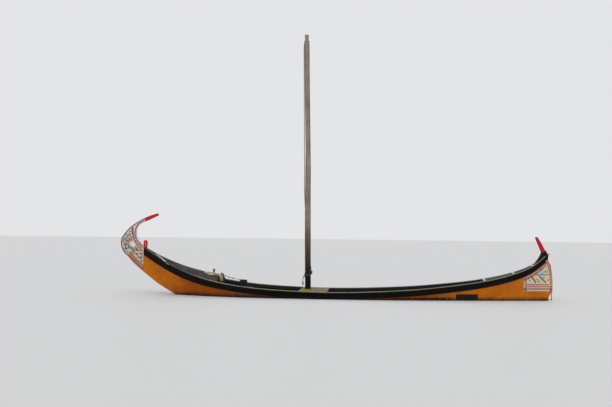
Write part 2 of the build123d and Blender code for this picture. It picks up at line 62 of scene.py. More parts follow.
GOLDEN_ANGLE = 2.39996
# Rays that look for the hull start this far to its side or above it.
OUTBOARD = 3.0
OVERHEAD = 3.0
Colour = tuple[float, float, float]
Point = tuple[float, float]
Place = tuple[float, float, float]
Socket = bpy.types.NodeSocket
Piece = bpy.types.Object


def tone(red: int, green: int, blue: int) -> Colour:
    """Turn a paint swatch's display values into the shader's linear colour.

    Args:
        red: Red, 0 to 255.
        green: Green, 0 to 255.
        blue: Blue, 0 to 255.

    Returns:
        The linear colour.
    """

    def linear(value: int) -> float:
        """Turn one display value into a linear one."""
        share = value / 255
        return share / 12.92 if share <= 0.04045 else ((share + 0.055) / 1.055) ** 2.4

    return (linear(red), linear(green), linear(blue))


# shader nodes


class Graph:
    """The nodes of one material or one shared shader group."""

    def __init__(self, tree: bpy.types.NodeTree) -> None:
        """Keep the tree that nodes are added to."""
        self.tree = tree

    def node(self, kind: str, **settings: object) -> bpy.types.Node:
        """Add a node.

        Args:
            kind: The node's type name without its ShaderNode prefix.
            **settings: The node's own properties.

        Returns:
            The new node.
        """
        prefix = "" if kind.startswith("Node") else "ShaderNode"
        made = self.tree.nodes.new(prefix + kind)
        for name, value in settings.items():
            setattr(made, name, value)
        return made

    def feed(self, socket: Socket, value: object) -> None:
        """Link a socket into another, or set its plain value.

        Args:
            socket: The socket to feed.
            value: A socket to link from, or a number, colour or vector to set.
        """
        if isinstance(value, Socket):
            self.tree.links.new(value, socket)
        elif isinstance(value, tuple) and socket.type == "RGBA":
            socket.default_value = (*value, 1.0)
        else:
            socket.default_value = value

    def math(self, operation: str, *values: object) -> Socket:
        """Add a Math node over the values.

        Args:
            operation: The node's operation.
            *values: What it works on.

        Returns:
            Its result.
        """
        made = self.node("Math", operation=operation)
        for socket, value in zip(made.inputs, values):
            self.feed(socket, value)
        return made.outputs[0]

    def times(self, first: object, second: object) -> Socket:
        """Multiply two values."""
        return self.math("MULTIPLY", first, second)

    def mix(self, share: object, first: object, second: object) -> Socket:
        """Mix two colours.

        Args:
            share: How much of the second colour shows, 0 to 1.
            first: The first colour.
            second: The second colour.

        Returns:
            The mixed colour.
        """
        made = self.node("Mix", data_type="RGBA")
        self.feed(made.inputs["Factor"], share)
        self.feed(made.inputs[6], first)
        self.feed(made.inputs[7], second)
        return made.outputs[2]

    def remap(
        self, value: object, low: float, high: float, to_low: float = 0.0, to_high: float = 1.0
    ) -> Socket:
        """Map one range of values to another, smoothly and clamped.

        Args:
            value: The value.
            low: Where its range starts.
            high: Where its range ends.
            to_low: What the start becomes.
            to_high: What the end becomes.

        Returns:
            The mapped value.
        """
        made = self.node("MapRange", interpolation_type="SMOOTHSTEP")
        limits = {"From Min": low, "From Max": high, "To Min": to_low, "To Max": to_high}
        for name, number in limits.items():
            made.inputs[name].default_value = number
        self.feed(made.inputs["Value"], value)
        return made.outputs["Result"]

    def noise(self, vector: object, scale: object, detail: float = 4.0, rough: float = 0.55) -> Socket:
        """Add a noise texture.

        Args:
            vector: The coordinates.
            scale: How fine it is.
            detail: Its octaves.
            rough: How strong the fine octaves are.

        Returns:
            Its grey value.
        """
        made = self.node("TexNoise")
        self.feed(made.inputs["Vector"], vector)
        self.feed(made.inputs["Scale"], scale)
        made.inputs["Detail"].default_value = detail
        made.inputs["Roughness"].default_value = rough
        return made.outputs["Fac"]

    def stretch(self, vector: object, factors: object) -> Socket:
        """Multiply coordinates by a factor for each axis.

        Args:
            vector: The coordinates.
            factors: The three factors.

        Returns:
            The stretched coordinates.
        """
        made = self.node("VectorMath", operation="MULTIPLY")
        self.feed(made.inputs[0], vector)
        self.feed(made.inputs[1], factors)
        return made.outputs[0]

    def split(self, vector: object) -> bpy.types.NodeOutputs:
        """Split coordinates into X, Y and Z.

        Args:
            vector: The coordinates.

        Returns:
            The node's outputs, by the names of the axes.
        """
        made = self.node("SeparateXYZ")
        self.feed(made.inputs[0], vector)
        return made.outputs

    def ragged(self, vector: object, scale: float, swing: float, *fineness: float) -> Socket:
        """Add noise that swings to both sides of nought, to make an edge ragged.

        Args:
            vector: The coordinates.
            scale: How fine the noise is.
            swing: How far it swings, from one side to the other.
            *fineness: The noise's octaves and how strong the fine ones are.

        Returns:
            The noise.
        """
        return self.times(self.math("SUBTRACT", self.noise(vector, scale, *fineness), 0.5), swing)

    def group(self, tree: bpy.types.NodeTree, **inputs: object) -> bpy.types.NodeOutputs:
        """Add a shared group.

        Args:
            tree: The group's node tree.
            **inputs: What its inputs get.

        Returns:
            Its outputs.
        """
        made = self.node("Group", node_tree=tree)
        for name, value in inputs.items():
            self.feed(made.inputs[name], value)
        return made.outputs


class Surface(Graph):
    """The nodes of one material, round its shader."""

    def __init__(self, name: str) -> None:
        """Make a material that reads the object's own coordinates.

        Args:
            name: The material's name.
        """
        self.material = bpy.data.materials.new(name)
        self.material.use_nodes = True
        super().__init__(self.material.node_tree)
        self.shader = self.tree.nodes["Principled BSDF"]
        self.where = self.node("TexCoord").outputs["Object"]

    def give(self, colour: object, rough: object, gloss: object = 0.5, metal: object = 0.0) -> None:
        """Feed the shader.

        Args:
            colour: Its base colour.
            rough: Its roughness.
            gloss: Its specular level.
            metal: Its share of metal.
        """
        values = {"Base Color": colour, "Roughness": rough, "Specular IOR Level": gloss, "Metallic": metal}
        for name, value in values.items():
            self.feed(self.shader.inputs[name], value)

    def bump(self, height: Socket, strength: float, depth: float) -> None:
        """Raise the surface by a height.

        Args:
            height: The height, from low to high.
            strength: How strong the relief is, 0 to 1.
            depth: How deep it is.
        """
        made = self.node("Bump")
        for name, value in (("Strength", strength), ("Distance", depth), ("Height", height)):
            self.feed(made.inputs[name], value)
        self.feed(self.shader.inputs["Normal"], made.outputs["Normal"])


@dataclass(frozen=True)
class SharedGroup:
    """A shader group that several materials share."""

    name: str
    inputs: dict[str, str]
    outputs: Sequence[str]
    masks: Callable[[Graph, Sequence[Socket]], Sequence[Socket]]

    def tree(self) -> bpy.types.NodeTree:
        """Build the group once.

        Returns:
            The group's node tree.
        """
        if self.name in bpy.data.node_groups:
            return bpy.data.node_groups[self.name]
        tree = bpy.data.node_groups.new(self.name, "ShaderNodeTree")
        for label, kind in self.inputs.items():
            tree.interface.new_socket(name=label, in_out="INPUT", socket_type=f"NodeSocket{kind}")
        for label in self.outputs:
            tree.interface.new_socket(name=label, in_out="OUTPUT", socket_type="NodeSocketFloat")
        graph = Graph(tree)
        results = self.masks(graph, graph.node("NodeGroupInput").outputs)
        leave = graph.node("NodeGroupOutput")
        for label, socket in zip(self.outputs, results):
            tree.links.new(socket, leave.inputs[label])
        return tree


def grain_masks(graph: Graph, entry: Sequence[Socket]) -> Sequence[Socket]:
    """Draw the fibres and cracks that run along a timber.

    Args:
        graph: The group's nodes.
        entry: Its input sockets.

    Returns:
        The figure and the cracks.
    """
    drawn = graph.stretch(entry["Coordinates"], entry["Stretch"])
    fibre = graph.noise(drawn, 9.0, 6.0, 0.62)
    ring = graph.node("TexWave", wave_type="BANDS", bands_direction="DIAGONAL")
    for name, value in (("Vector", drawn), ("Scale", 1.1), ("Distortion", 5.0), ("Detail", 3.0)):
        graph.feed(ring.inputs[name], value)
    split = graph.remap(graph.math("ABSOLUTE", graph.ragged(drawn, 2.3, 1.0, 3.0)), 0.0, 0.012, 1.0, 0.0)
    figure = graph.times(graph.math("ADD", fibre, ring.outputs["Fac"]), 0.5)
    return figure, graph.times(split, graph.remap(fibre, 0.42, 0.6))


def wear_masks(graph: Graph, entry: Sequence[Socket]) -> Sequence[Socket]:
    """Draw the faded patches, the rain streaks and the flaked paint.

    Args:
        graph: The group's nodes.
        entry: Its input sockets.

    Returns:
        The patches, the streaks and the flakes.
    """
    where = entry["Coordinates"]
    patch = graph.remap(graph.noise(where, 1.7, 5.0, 0.6), 0.36, 0.66)
    hanging = graph.stretch(where, (7.0, 7.0, 0.55))
    streak = graph.remap(graph.noise(hanging, 1.6, 5.0, 0.62), 0.47, 0.72)
    fine = graph.noise(where, 24.0, 6.0, 0.68)
    return patch, streak, graph.remap(graph.times(fine, graph.noise(where, 3.1, 3.0)), 0.33, 0.37)


def tide_mask(graph: Graph, entry: Sequence[Socket]) -> Sequence[Socket]:
    """Draw the damp, dirty zone, full at a level and none a depth above it.

    Args:
        graph: The group's nodes.
        entry: Its input sockets.

    Returns:
        The zone alone.
    """
    where = entry["Coordinates"]
    height = graph.math("SUBTRACT", graph.split(where)["Z"], entry["Level"])
    share = graph.math("DIVIDE", height, entry["Depth"])
    ragged = graph.ragged(graph.stretch(where, (1.0, 1.0, 0.4)), 3.4, 1.1, 5.0, 0.62)
    return (graph.remap(graph.math("ADD", share, ragged), 0.05, 1.0, 1.0, 0.0),)


GRAIN_INPUTS = {"Coordinates": "Vector", "Stretch": "Vector"}
WOOD_GRAIN = SharedGroup("wood_grain", GRAIN_INPUTS, ("Figure", "Crack"), grain_masks)
WEATHERING = SharedGroup("weathering", {"Coordinates": "Vector"}, ("Patch", "Streak", "Flake"), wear_masks)
TIDE_INPUTS = {"Coordinates": "Vector", "Level": "Float", "Depth": "Float"}
TIDE_LINE = SharedGroup("tide_line", TIDE_INPUTS, ("Mask",), tide_mask)


# finishes


class Lay(Enum):
    """Which way a timber's fibres run, as how much its pattern is drawn out on each axis."""

    ALONG = (0.35, 7.0, 7.0)
    ACROSS = (7.0, 0.35, 7.0)
    UPRIGHT = (7.0, 7.0, 0.35)


@dataclass(frozen=True)
class Stain:
    """A second colour over one stretch of a timber, with ragged ends."""

    colour: Colour
    axis: str = "X"
    begins: Point | None = None
    ends: Point | None = None
    share: float = 0.9
    drawn: Place = (0.8, 1.0, 4.0)
    scale: float = 2.0
    swing: float = 1.0

    def lay(self, surface: Surface, colour: Socket) -> Socket:
        """Lay the stain over a colour.

        Args:
            surface: The material's nodes.
            colour: The colour under it.

        Returns:
            The stained colour.
        """
        ragged = surface.ragged(surface.stretch(surface.where, self.drawn), self.scale, self.swing)
        drift = surface.math("ADD", surface.split(surface.where)[self.axis], ragged)
        mask: object = self.share
        if self.begins:
            mask = surface.times(surface.remap(drift, *self.begins), mask)
        if self.ends:
            mask = surface.times(surface.remap(drift, *self.ends, 1.0, 0.0), mask)
        return surface.mix(mask, colour, self.colour)


@dataclass(frozen=True)
class Finish:
    """A finish, which makes its material the first time that it is used."""

    name: str

    def build(self) -> bpy.types.Material:
        """Make the material once.

        Returns:
            The material.
        """
        if self.name in bpy.data.materials:
            return bpy.data.materials[self.name]
        surface = Surface(self.name)
        self.dress(surface)
        return surface.material

    def dress(self, surface: Surface) -> None:
        """Add the nodes that each kind of finish has of its own."""
        raise NotImplementedError


@dataclass(frozen=True)
class Timber(Finish):
    """Wood, painted or bare, with its grain, its weathering and its dirt."""

    colour: Colour
    faded: Colour
    bare: Colour
    lay: Lay = Lay.ALONG
    patch: float = 0.5
    streak: float = 0.35
    flake: float = 0.5
    figure: float = 0.25
    stains: tuple[Stain, ...] = ()
    soil: Colour = (0.035, 0.024, 0.014)
    soil_share: float = 0.0
    soil_depth: float = 0.3
    rough: float = 0.62
    relief: float = 0.3
    gloss: float = 0.16

    def dress(self, surface: Surface) -> None:
        """Lay the colours, the grain, the wear, the stains and the dirt over one another.

        Args:
            surface: The material's nodes.
        """
        where = surface.where
        grain = surface.group(WOOD_GRAIN.tree(), Coordinates=where, Stretch=self.lay.value)
        wear = surface.group(WEATHERING.tree(), Coordinates=where)
        dark = tuple(0.5 * part for part in self.colour)
        colour: object = self.colour
        for mask, share, over in (
            (wear["Patch"], self.patch, self.faded),
            (grain["Figure"], self.figure, dark),
            (wear["Streak"], self.streak, dark),
            (wear["Flake"], self.flake, self.bare),
        ):
            colour = surface.mix(surface.times(mask, share), colour, over)
        for stain in self.stains:
            colour = stain.lay(surface, colour)
        if self.soil_share:
            levels = {"Level": WATERLINE, "Depth": self.soil_depth}
            tide = surface.group(TIDE_LINE.tree(), Coordinates=where, **levels)
            colour = surface.mix(surface.times(tide["Mask"], self.soil_share), colour, self.soil)
        dull = surface.remap(grain["Figure"], 0.3, 0.7, self.rough - 0.1, self.rough + 0.14)
        surface.give(colour, dull, self.gloss)
        worn = surface.math("SUBTRACT", grain["Figure"], surface.times(grain["Crack"], 1.4))
        worn = surface.math("SUBTRACT", worn, surface.times(wear["Flake"], 0.5))
        surface.bump(worn, self.relief, 0.004)


@dataclass(frozen=True)
class Iron(Finish):
    """Rusty forged iron."""

    name: str = "rusty_iron"
    dark: Colour = tone(44, 38, 35)
    rust: Colour = tone(104, 60, 34)

    def dress(self, surface: Surface) -> None:
        """Blotch the iron with rust.

        Args:
            surface: The material's nodes.
        """
        blotch = surface.remap(surface.noise(surface.where, 18.0, 6.0, 0.65), 0.4, 0.62)
        rough = surface.remap(blotch, 0.0, 1.0, 0.5, 0.85)
        metal = surface.remap(blotch, 0.0, 1.0, 0.6, 0.05)
        surface.give(surface.mix(blotch, self.dark, self.rust), rough, metal=metal)
        surface.bump(surface.noise(surface.where, 60.0, 5.0), 0.5, 0.002)


@dataclass(frozen=True)
class Fibre(Finish):
    """Rough stuff such as rope or moss, mottled and with a fine bump."""

    light: Colour
    dark: Colour
    scale: float = 60.0
    relief: float = 0.8
    depth: float = 0.002

    def dress(self, surface: Surface) -> None:
        """Mottle the stuff in its two colours.

        Args:
            surface: The material's nodes.
        """
        fine = surface.noise(surface.where, self.scale, 6.0, 0.7)
        broad = surface.noise(surface.where, self.scale / 9, 4.0)
        blend = surface.remap(surface.math("ADD", fine, broad), 0.75, 1.25)
        surface.give(surface.mix(blend, self.dark, self.light), 0.9, 0.1)
        surface.bump(surface.noise(surface.where, 2.5 * self.scale, 5.0), self.relief, self.depth)


@dataclass(frozen=True)
class Matt(Finish):
    """One even matt colour."""

    colour: Colour

    def dress(self, surface: Surface) -> None:
        """Set the colour and an even roughness."""
        surface.give(self.colour, 0.6)


TARRY = tone(20, 18, 16)
# How the edge between two paints is drawn, and how the damp climbs a spar.
SPLIT = {"axis": "Z", "share": 1.0, "drawn": (1.0, 1.0, 1.0), "scale": 14.0, "swing": 0.012}
DAMP = {"axis": "Z", "drawn": (5.0, 5.0, 0.6), "scale": 1.5, "swing": 1.2}
ORANGE = Timber(
    "orange_hull_paint", tone(196, 110, 8), tone(172, 88, 4), tone(104, 60, 24),
    patch=0.75, streak=0.4, flake=0.4, figure=0.16, rough=0.55, gloss=0.14,
    stains=(
        Stain(tone(140, 60, 1), "X", (-5.9, -4.6), (2.8, 4.8), share=0.8),
        # Nearly black over the middle of the hull, fading out towards both ends.
        Stain(tone(24, 19, 13), "X", (-2.6, -1.6), (0.9, 2.0)),
    ),
    soil=tone(46, 33, 19), soil_share=0.95, soil_depth=0.17,
)
BLACK = Timber(
    "tarred_band", tone(9, 8, 7), tone(18, 16, 14), tone(34, 30, 26),
    patch=0.7, streak=0.2, flake=0.3, gloss=0.1,
    soil=tone(44, 30, 16), soil_share=0.6, soil_depth=0.14,
)
CAP = Timber(
    "worn_gunwale", tone(122, 119, 104), tone(146, 142, 124), tone(58, 53, 44),
    patch=0.7, flake=0.6, figure=0.45, gloss=0.1,
    stains=(Stain(tone(64, 59, 53), ends=(-5.2, -4.2)),),
)
DECK = Timber(
    "dark_deck_boards", tone(56, 51, 47), tone(75, 69, 63), tone(31, 28, 24),
    patch=0.8, flake=0.6, figure=0.28, streak=0.1, gloss=0.1,
)
# The hold's timbers are nearly black: partly old dark wood and partly painted shade, since the hold lies in
# shadow under the gunwales. The hold's side planks also get darker towards the bottom.
HOLD_TIMBER_DARK_AND_SHADE = Timber(
    "hold_timber_dark_wood_and_shade", tone(17, 15, 11), tone(26, 26, 16), tone(12, 10, 8),
    patch=0.8, figure=0.28, gloss=0.1,
)
HOLD_PLANKS_DARK_AND_SHADE = Timber(
    "hold_side_planks", tone(22, 19, 14), tone(31, 28, 20), tone(14, 12, 9),
    patch=0.8, streak=0.5, figure=0.28, gloss=0.1,
    soil=tone(18, 15, 11), soil_share=0.7, soil_depth=0.25,
)
HOLD_CROSS_DARK_AND_SHADE = Timber(
    "hold_cross_timber_dark_wood_and_shade", tone(26, 23, 18), tone(36, 32, 26), tone(17, 14, 11), Lay.ACROSS,
    patch=0.8, figure=0.28, gloss=0.1,
)
THWART = Timber(
    "pale_thwart_boards", tone(114, 105, 80), tone(131, 122, 95), tone(84, 76, 56), Lay.ACROSS,
    patch=0.8, figure=0.45, gloss=0.1,
)
MAST = Timber(
    "spar_wood", tone(160, 145, 130), tone(128, 113, 102), tone(88, 72, 60), Lay.UPRIGHT,
    patch=0.9, streak=0.5, flake=0.35, figure=0.5, rough=0.75, relief=0.7, gloss=0.1,
    stains=(
        Stain(tone(60, 45, 34), ends=(1.65, 2.9), **DAMP),
        Stain(tone(20, 17, 13), ends=(1.0, 1.75), share=0.95, **DAMP),
    ),
)
RED = Timber(
    "crimson_paint", tone(196, 8, 18), tone(172, 20, 34), tone(96, 24, 24),
    patch=0.6, streak=0.15, flake=0.2, figure=0.1, rough=0.4, gloss=0.2,
)
HORN = Timber(
    "crimson_horn_paint", TARRY, tone(30, 27, 24), tone(50, 44, 38),
    patch=0.5, flake=0.2, figure=0.1, rough=0.45, gloss=0.16,
    stains=(Stain(tone(176, 24, 40), begins=(1.898, 1.902), **SPLIT),),
)
POST = replace(
    ORANGE, name="orange_post_paint", soil_share=0.9, soil_depth=0.15,
    stains=(Stain(TARRY, begins=(1.598, 1.602), **SPLIT),),
)
CREAM = Timber(
    "cream_panel_paint", tone(206, 198, 184), tone(180, 171, 158), tone(112, 102, 90),
    patch=0.6, streak=0.2, flake=0.3, figure=0.1, rough=0.55,
)
MOSSY = Timber(
    "mossy_block_wood", tone(29, 28, 21), tone(30, 37, 17), tone(55, 51, 41), Lay.UPRIGHT,
    patch=0.9, figure=0.28, gloss=0.1,
)
IRON = Iron()
HEMP = Fibre("pale_hemp", tone(228, 218, 192), tone(138, 124, 98), scale=30.0)
OLD_ROPE = Fibre("dark_rope", tone(88, 81, 68), tone(34, 30, 24))
MOSS = Fibre("bright_moss", tone(150, 160, 40), tone(70, 88, 18), scale=34.0, relief=1.0, depth=0.006)
FLOOR_GREY = Matt("floor_grey", tone(206, 207, 208))


def ornament_paint(name: str, red: int, green: int, blue: int) -> Timber:
    """Give a line or motif colour its slightly worn paint.

    Args:
        name: The colour's name, with which the material's name ends.
        red: Red, 0 to 255.
        green: Green, 0 to 255.
        blue: Blue, 0 to 255.

    Returns:
        The paint.
    """
    colour = tone(red, green, blue)
    faded = tuple(0.75 * part + 0.06 for part in colour)
    wear = {"patch": 0.5, "streak": 0.2, "flake": 0.25, "figure": 0.1, "rough": 0.5}
    return Timber(f"ornament_{name}", colour, faded, tone(150, 140, 126), **wear)


ORNAMENT = {
    "red": ornament_paint("red", 178, 26, 40),
    "orange": ornament_paint("orange", 200, 104, 20),
    "green": ornament_paint("green", 44, 92, 60),
    "dark": ornament_paint("dark", 44, 42, 48),
    "grey": ornament_paint("grey", 108, 112, 116),
    "blue": ornament_paint("light_blue", 138, 180, 198),
    "pale": ornament_paint("pale_blue", 182, 200, 206),
    "brown": ornament_paint("brown", 126, 58, 44),
    "yellow": ornament_paint("yellow_green", 156, 146, 44),
    "white": ornament_paint("white", 226, 224, 216),
    "salmon": ornament_paint("salmon", 196, 136, 116),
    "cream": ornament_paint("cream", 206, 198, 170),
    "navy": ornament_paint("dark_blue", 40, 60, 92),
    "hull": ornament_paint("orange_edge", 190, 104, 8),
    "tar": Timber("waterline_tar", tone(30, 21, 14), tone(37, 27, 18), tone(62, 44, 26), flake=0.2),
}


# mesh operations


def only(piece: Piece) -> None:
    """Select one object alone and make it active.

    Args:
        piece: The object.
    """
    for other in bpy.context.selected_objects:
        other.select_set(False)
    piece.select_set(True)
    bpy.context.view_layer.objects.active = piece


@contextmanager
def editing(piece: Piece) -> Iterator[bmesh.types.BMesh]:
    """Open a piece in edit mode with nothing selected.

    Args:
        piece: The object to edit.

    Yields:
        Its edit mesh, for selecting faces and edges in code.
    """
    only(piece)
    bpy.ops.object.mode_set(mode="EDIT")
    bpy.ops.mesh.select_mode(type="VERT")
    bpy.ops.mesh.select_all(action="DESELECT")
    try:
        yield bmesh.from_edit_mesh(piece.data)
    finally:
        bpy.ops.object.mode_set(mode="OBJECT")


def pick(piece: Piece, edges: Sequence[bmesh.types.BMEdge]) -> None:
    """Select some edges of the edit mesh and nothing else.

    Args:
        piece: The object that is edited.
        edges: The edges to select.
    """
    bpy.ops.mesh.select_mode(type="EDGE")
    bpy.ops.mesh.select_all(action="DESELECT")
    for edge in edges:
        edge.select_set(True)
    bmesh.update_edit_mesh(piece.data)


def modify(piece: Piece, kind: str, **settings: object) -> None:
    """Add a modifier to a piece and apply it.

    Args:
        piece: The piece.
        kind: The modifier's type.
        **settings: The modifier's own properties.
    """
    only(piece)
    made = piece.modifiers.new(kind.title(), kind)
    for name, value in settings.items():
        setattr(made, name, value)
    bpy.ops.object.modifier_apply(modifier=made.name)


def bevel(piece: Piece, width: float, segments: int, degrees: float) -> None:
    """Round the edges of a piece.

    Args:
        piece: The piece.
        width: How wide the rounding is.
        segments: How many steps it has.
        degrees: How sharp an edge has to be to be rounded.
    """
    limit = math.radians(degrees)
    modify(piece, "BEVEL", width=width, segments=segments, limit_method="ANGLE", angle_limit=limit)


def smooth(piece: Piece, degrees: float = 30.0) -> None:
    """Shade a piece smooth apart from its sharp edges."""
    only(piece)
    bpy.ops.object.shade_smooth_by_angle(angle=math.radians(degrees))


def linked(name: str, data: bpy.types.ID) -> Piece:
    """Put a new object into the scene.

    Args:
        name: Its name.
        data: Its mesh, curve, lamp or camera.

    Returns:
        The object.
    """
    made = bpy.data.objects.new(name, data)
    bpy.context.scene.collection.objects.link(made)
    return made


def shaped(name: str, shape: bmesh.types.BMesh) -> Piece:
    """Put a mesh that was built in code into the scene.

    Args:
        name: The new object's name.
        shape: The mesh, which is freed.

    Returns:
        The object.
    """
    sheet = bpy.data.meshes.new(name)
    shape.to_mesh(sheet)
    shape.free()
    return linked(name, sheet)


def settle(piece: Piece, body: str, finish: Finish) -> Piece:
    """Put a finished piece's place into its mesh, paint it and let it ride.

    Args:
        piece: The piece.
        body: The moving body that it rides on.
        finish: Its finish.

    Returns:
        The piece.
    """
    only(piece)
    bpy.ops.object.transform_apply(location=True, rotation=True, scale=True)
    piece.data.materials.clear()
    piece.data.materials.append(finish.build())
    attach(piece, body)
    LOG.info("%s rides on %s", piece.name, body)
    return piece


def repaint(piece: Piece, finish: Finish, wanted: Callable[[Vector], bool]) -> None:
    """Give some faces of a settled piece a second finish.

    Args:
        piece: The piece.
        finish: The second finish.
        wanted: Called with a face's normal, tells whether the face gets it.
    """
    piece.data.materials.append(finish.build())
    for face in piece.data.polygons:
        if wanted(face.normal):
            face.material_index = 1


def merged_copy(node: str, name: str) -> Piece:
    """Copy a frame node's mesh with its loose triangles merged.

    Args:
        node: The node to copy.
        name: The copy's name.

    Returns:
        The copy, which rides on nothing yet.
    """
    piece = linked(name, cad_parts[node].data.copy())
    only(piece)
    if piece.data.has_custom_normals:
        bpy.ops.mesh.customdata_custom_splitnormals_clear()
    with editing(piece):
        bpy.ops.mesh.select_all(action="SELECT")
        bpy.ops.mesh.remove_doubles(threshold=MERGE_DISTANCE)
    return piece


def rounded_copy(node: str, name: str, width: float, kink: float = 0.0) -> Piece:
    """Copy a frame node with its edges worn round.

    Args:
        node: The node to copy.
        name: The copy's name.
        width: How wide the edges are rounded.
        kink: How wide the corners of its outline across the boat are rounded first.

    Returns:
        The rounded copy.
    """
    flat, blunt, sharp = (math.radians(degrees) for degrees in (0.6, 9, 70))
    piece = merged_copy(node, name)
    with editing(piece):
        bpy.ops.mesh.select_all(action="SELECT")
        bpy.ops.mesh.dissolve_limited(angle_limit=flat)
        if kink:
            mesh = bmesh.from_edit_mesh(piece.data)
            bends = []
            for edge in mesh.edges:
                across = abs(edge.verts[0].co.y - edge.verts[1].co.y) > 0.8 * edge.calc_length()
                if across and len(edge.link_faces) == 2 and blunt < edge.calc_face_angle() < sharp:
                    bends.append(edge)
            pick(piece, bends)
            bpy.ops.mesh.bevel(offset=kink, segments=5, affect="EDGES", clamp_overlap=True)
    bevel(piece, width, 3, 35)
    smooth(piece, 35)
    return piece


def turned(name: str, foot: Place, profile: Sequence[Point], along: Place = (0, 0, 1)) -> Piece:
    """Turn a profile round an axis, as on a lathe.

    Args:
        name: The piece's name.
        foot: Where the axis starts.
        profile: Radius and height along the axis, from the foot up, closed at both ends.
        along: The axis's direction.

    Returns:
        The turned piece.
    """
    piece = linked(name, bpy.data.meshes.new(name))
    start, axis = Vector(foot), Vector(along).normalized()
    side = axis.orthogonal().normalized()
    with editing(piece) as mesh:
        spots = [mesh.verts.new(start + side * radius + axis * height) for radius, height in profile]
        for first, second in zip(spots, spots[1:]):
            mesh.edges.new((first, second))
        bmesh.update_edit_mesh(piece.data)
        bpy.ops.mesh.select_all(action="SELECT")
        bpy.ops.mesh.spin(steps=20, angle=math.tau, center=foot, axis=axis)
        bpy.ops.mesh.select_all(action="SELECT")
        bpy.ops.mesh.remove_doubles(threshold=0.0001)
        bpy.ops.mesh.normals_make_consistent(inside=False)
    smooth(piece, 40)
    return piece


def between(rows: Sequence[Point], place: float) -> float:
    """Read a value off a table of places and values, straight between its rows.

    Args:
        rows: Places and values, by rising place.
        place: Where to read.

    Returns:
        The value.
    """
    if place <= rows[0][0]:
        return rows[0][1]
    for (low, first), (high, second) in zip(rows, rows[1:]):
        if place <= high:
            return first + (second - first) * (place - low) / (high - low)
    return rows[-1][1]


def fair_run(node: str, name: str, levels: int = 2) -> Piece:
    """Copy a long timber and let it bend smoothly through the hull's stations.

    Args:
        node: The frame node to copy.
        name: The copy's name.
        levels: How often each length is halved.

    Returns:
        The smooth copy.
    """
    flat, sharp = math.radians(22), math.radians(30)
    piece = merged_copy(node, name)
    with editing(piece) as mesh:
        loose = []
        for edge in mesh.edges:
            if len(edge.link_faces) != 2:
                continue
            runs = abs(edge.verts[0].co.x - edge.verts[1].co.x) > 0.001
            capping = all(abs(face.normal.x) > 0.99 for face in edge.link_faces)
            if (runs and edge.calc_face_angle() < flat) or capping:
                loose.append(edge)
        pick(piece, loose)
        bpy.ops.mesh.dissolve_edges(use_verts=True)
        mesh = bmesh.from_edit_mesh(piece.data)
        crease = mesh.edges.layers.float.get("crease_edge") or mesh.edges.layers.float.new("crease_edge")
        for edge in mesh.edges:
            if len(edge.link_faces) == 2 and edge.calc_face_angle() > sharp:
                edge[crease] = 1.0
        bmesh.update_edit_mesh(piece.data)
    modify(piece, "SUBSURF", levels=levels, render_levels=levels)
    smooth(piece)
    return piece


# lines and outlines


def arc(first: Point, middle: Point, last: Point, count: int = 12) -> list[Point]:
    """Follow the circle through three points.

    Args:
        first: Where the arc starts.
        middle: A point that it passes.
        last: Where it ends.
        count: How many steps it takes.

    Returns:
        The points along it, both ends included.
    """
    (ax, ay), (bx, by), (cx, cy) = first, middle, last
    double = 2 * (ax * (by - cy) + bx * (cy - ay) + cx * (ay - by))
    squares = [x * x + y * y for x, y in (first, middle, last)]
    centre_x = (squares[0] * (by - cy) + squares[1] * (cy - ay) + squares[2] * (ay - by)) / double
    centre_y = (squares[0] * (cx - bx) + squares[1] * (ax - cx) + squares[2] * (bx - ax)) / double
    radius = math.hypot(ax - centre_x, ay - centre_y)
    start = math.atan2(ay - centre_y, ax - centre_x)
    sweep = math.atan2(cy - centre_y, cx - centre_x) - start
    turn_left = (bx - ax) * (cy - ay) - (by - ay) * (cx - ax) > 0
    if turn_left and sweep < 0:
        sweep += math.tau
    elif not turn_left and sweep > 0:
        sweep -= math.tau
    angles = [start + sweep * step / count for step in range(count + 1)]
    return [(centre_x + radius * math.cos(a), centre_y + radius * math.sin(a)) for a in angles]


def chain(*lines: Sequence[Point]) -> list[Point]:
    """Join lines end to end, each shared end once.

    Args:
        *lines: The lines. Each begins where the one before it ends.

    Returns:
        One line through all of them.
    """
    points: list[Point] = list(lines[0])
    for line in lines[1:]:
        points += list(line)[1:]
    return points


def spaced(line: Sequence[tuple[float, ...]], pitch: float) -> list[tuple[float, ...]]:
    """Walk along a flat line or one in space and give points at an even pitch.

    Args:
        line: The corners of the line.
        pitch: The wanted distance between points.

    Returns:
        The points, from the line's start to its end.
    """
    lengths = [math.dist(a, b) for a, b in zip(line, line[1:])]
    count = max(1, round(sum(lengths) / pitch))
    step = sum(lengths) / count
    points = [line[0]]
    travelled, index = 0.0, 0
    for number in range(1, count):
        while travelled + lengths[index] < number * step:
            travelled += lengths[index]
            index += 1
        share = (number * step - travelled) / lengths[index]
        points.append(tuple(a + share * (b - a) for a, b in zip(line[index], line[index + 1])))
    return points + [line[-1]]


def aside(line: Sequence[Point], distance: float) -> list[Point]:
    """Shift a line sideways.

    Args:
        line: The line.
        distance: How far it goes to its left, or to its right where that is negative.

    Returns:
        The shifted line.
    """
    moved = []
    for index, (x, z) in enumerate(line):
        before, after = line[max(index - 1, 0)], line[min(index + 1, len(line) - 1)]
        along = Vector((after[0] - before[0], after[1] - before[1])).normalized()
        moved.append((x - along.y * distance, z + along.x * distance))
    return moved


def inside_outline(place: Point, outline: Sequence[Point]) -> bool:
    """Tell whether a point lies inside a closed outline.

    Args:
        place: The point.
        outline: The corners of the outline.

    Returns:
        True where it lies inside.
    """
    x, z = place
    inside = False
    for (ax, az), (bx, bz) in zip(outline, list(outline[1:]) + [outline[0]]):
        if (az > z) != (bz > z) and x < ax + (z - az) * (bx - ax) / (bz - az):
            inside = not inside
    return inside


# paint laid on the hull


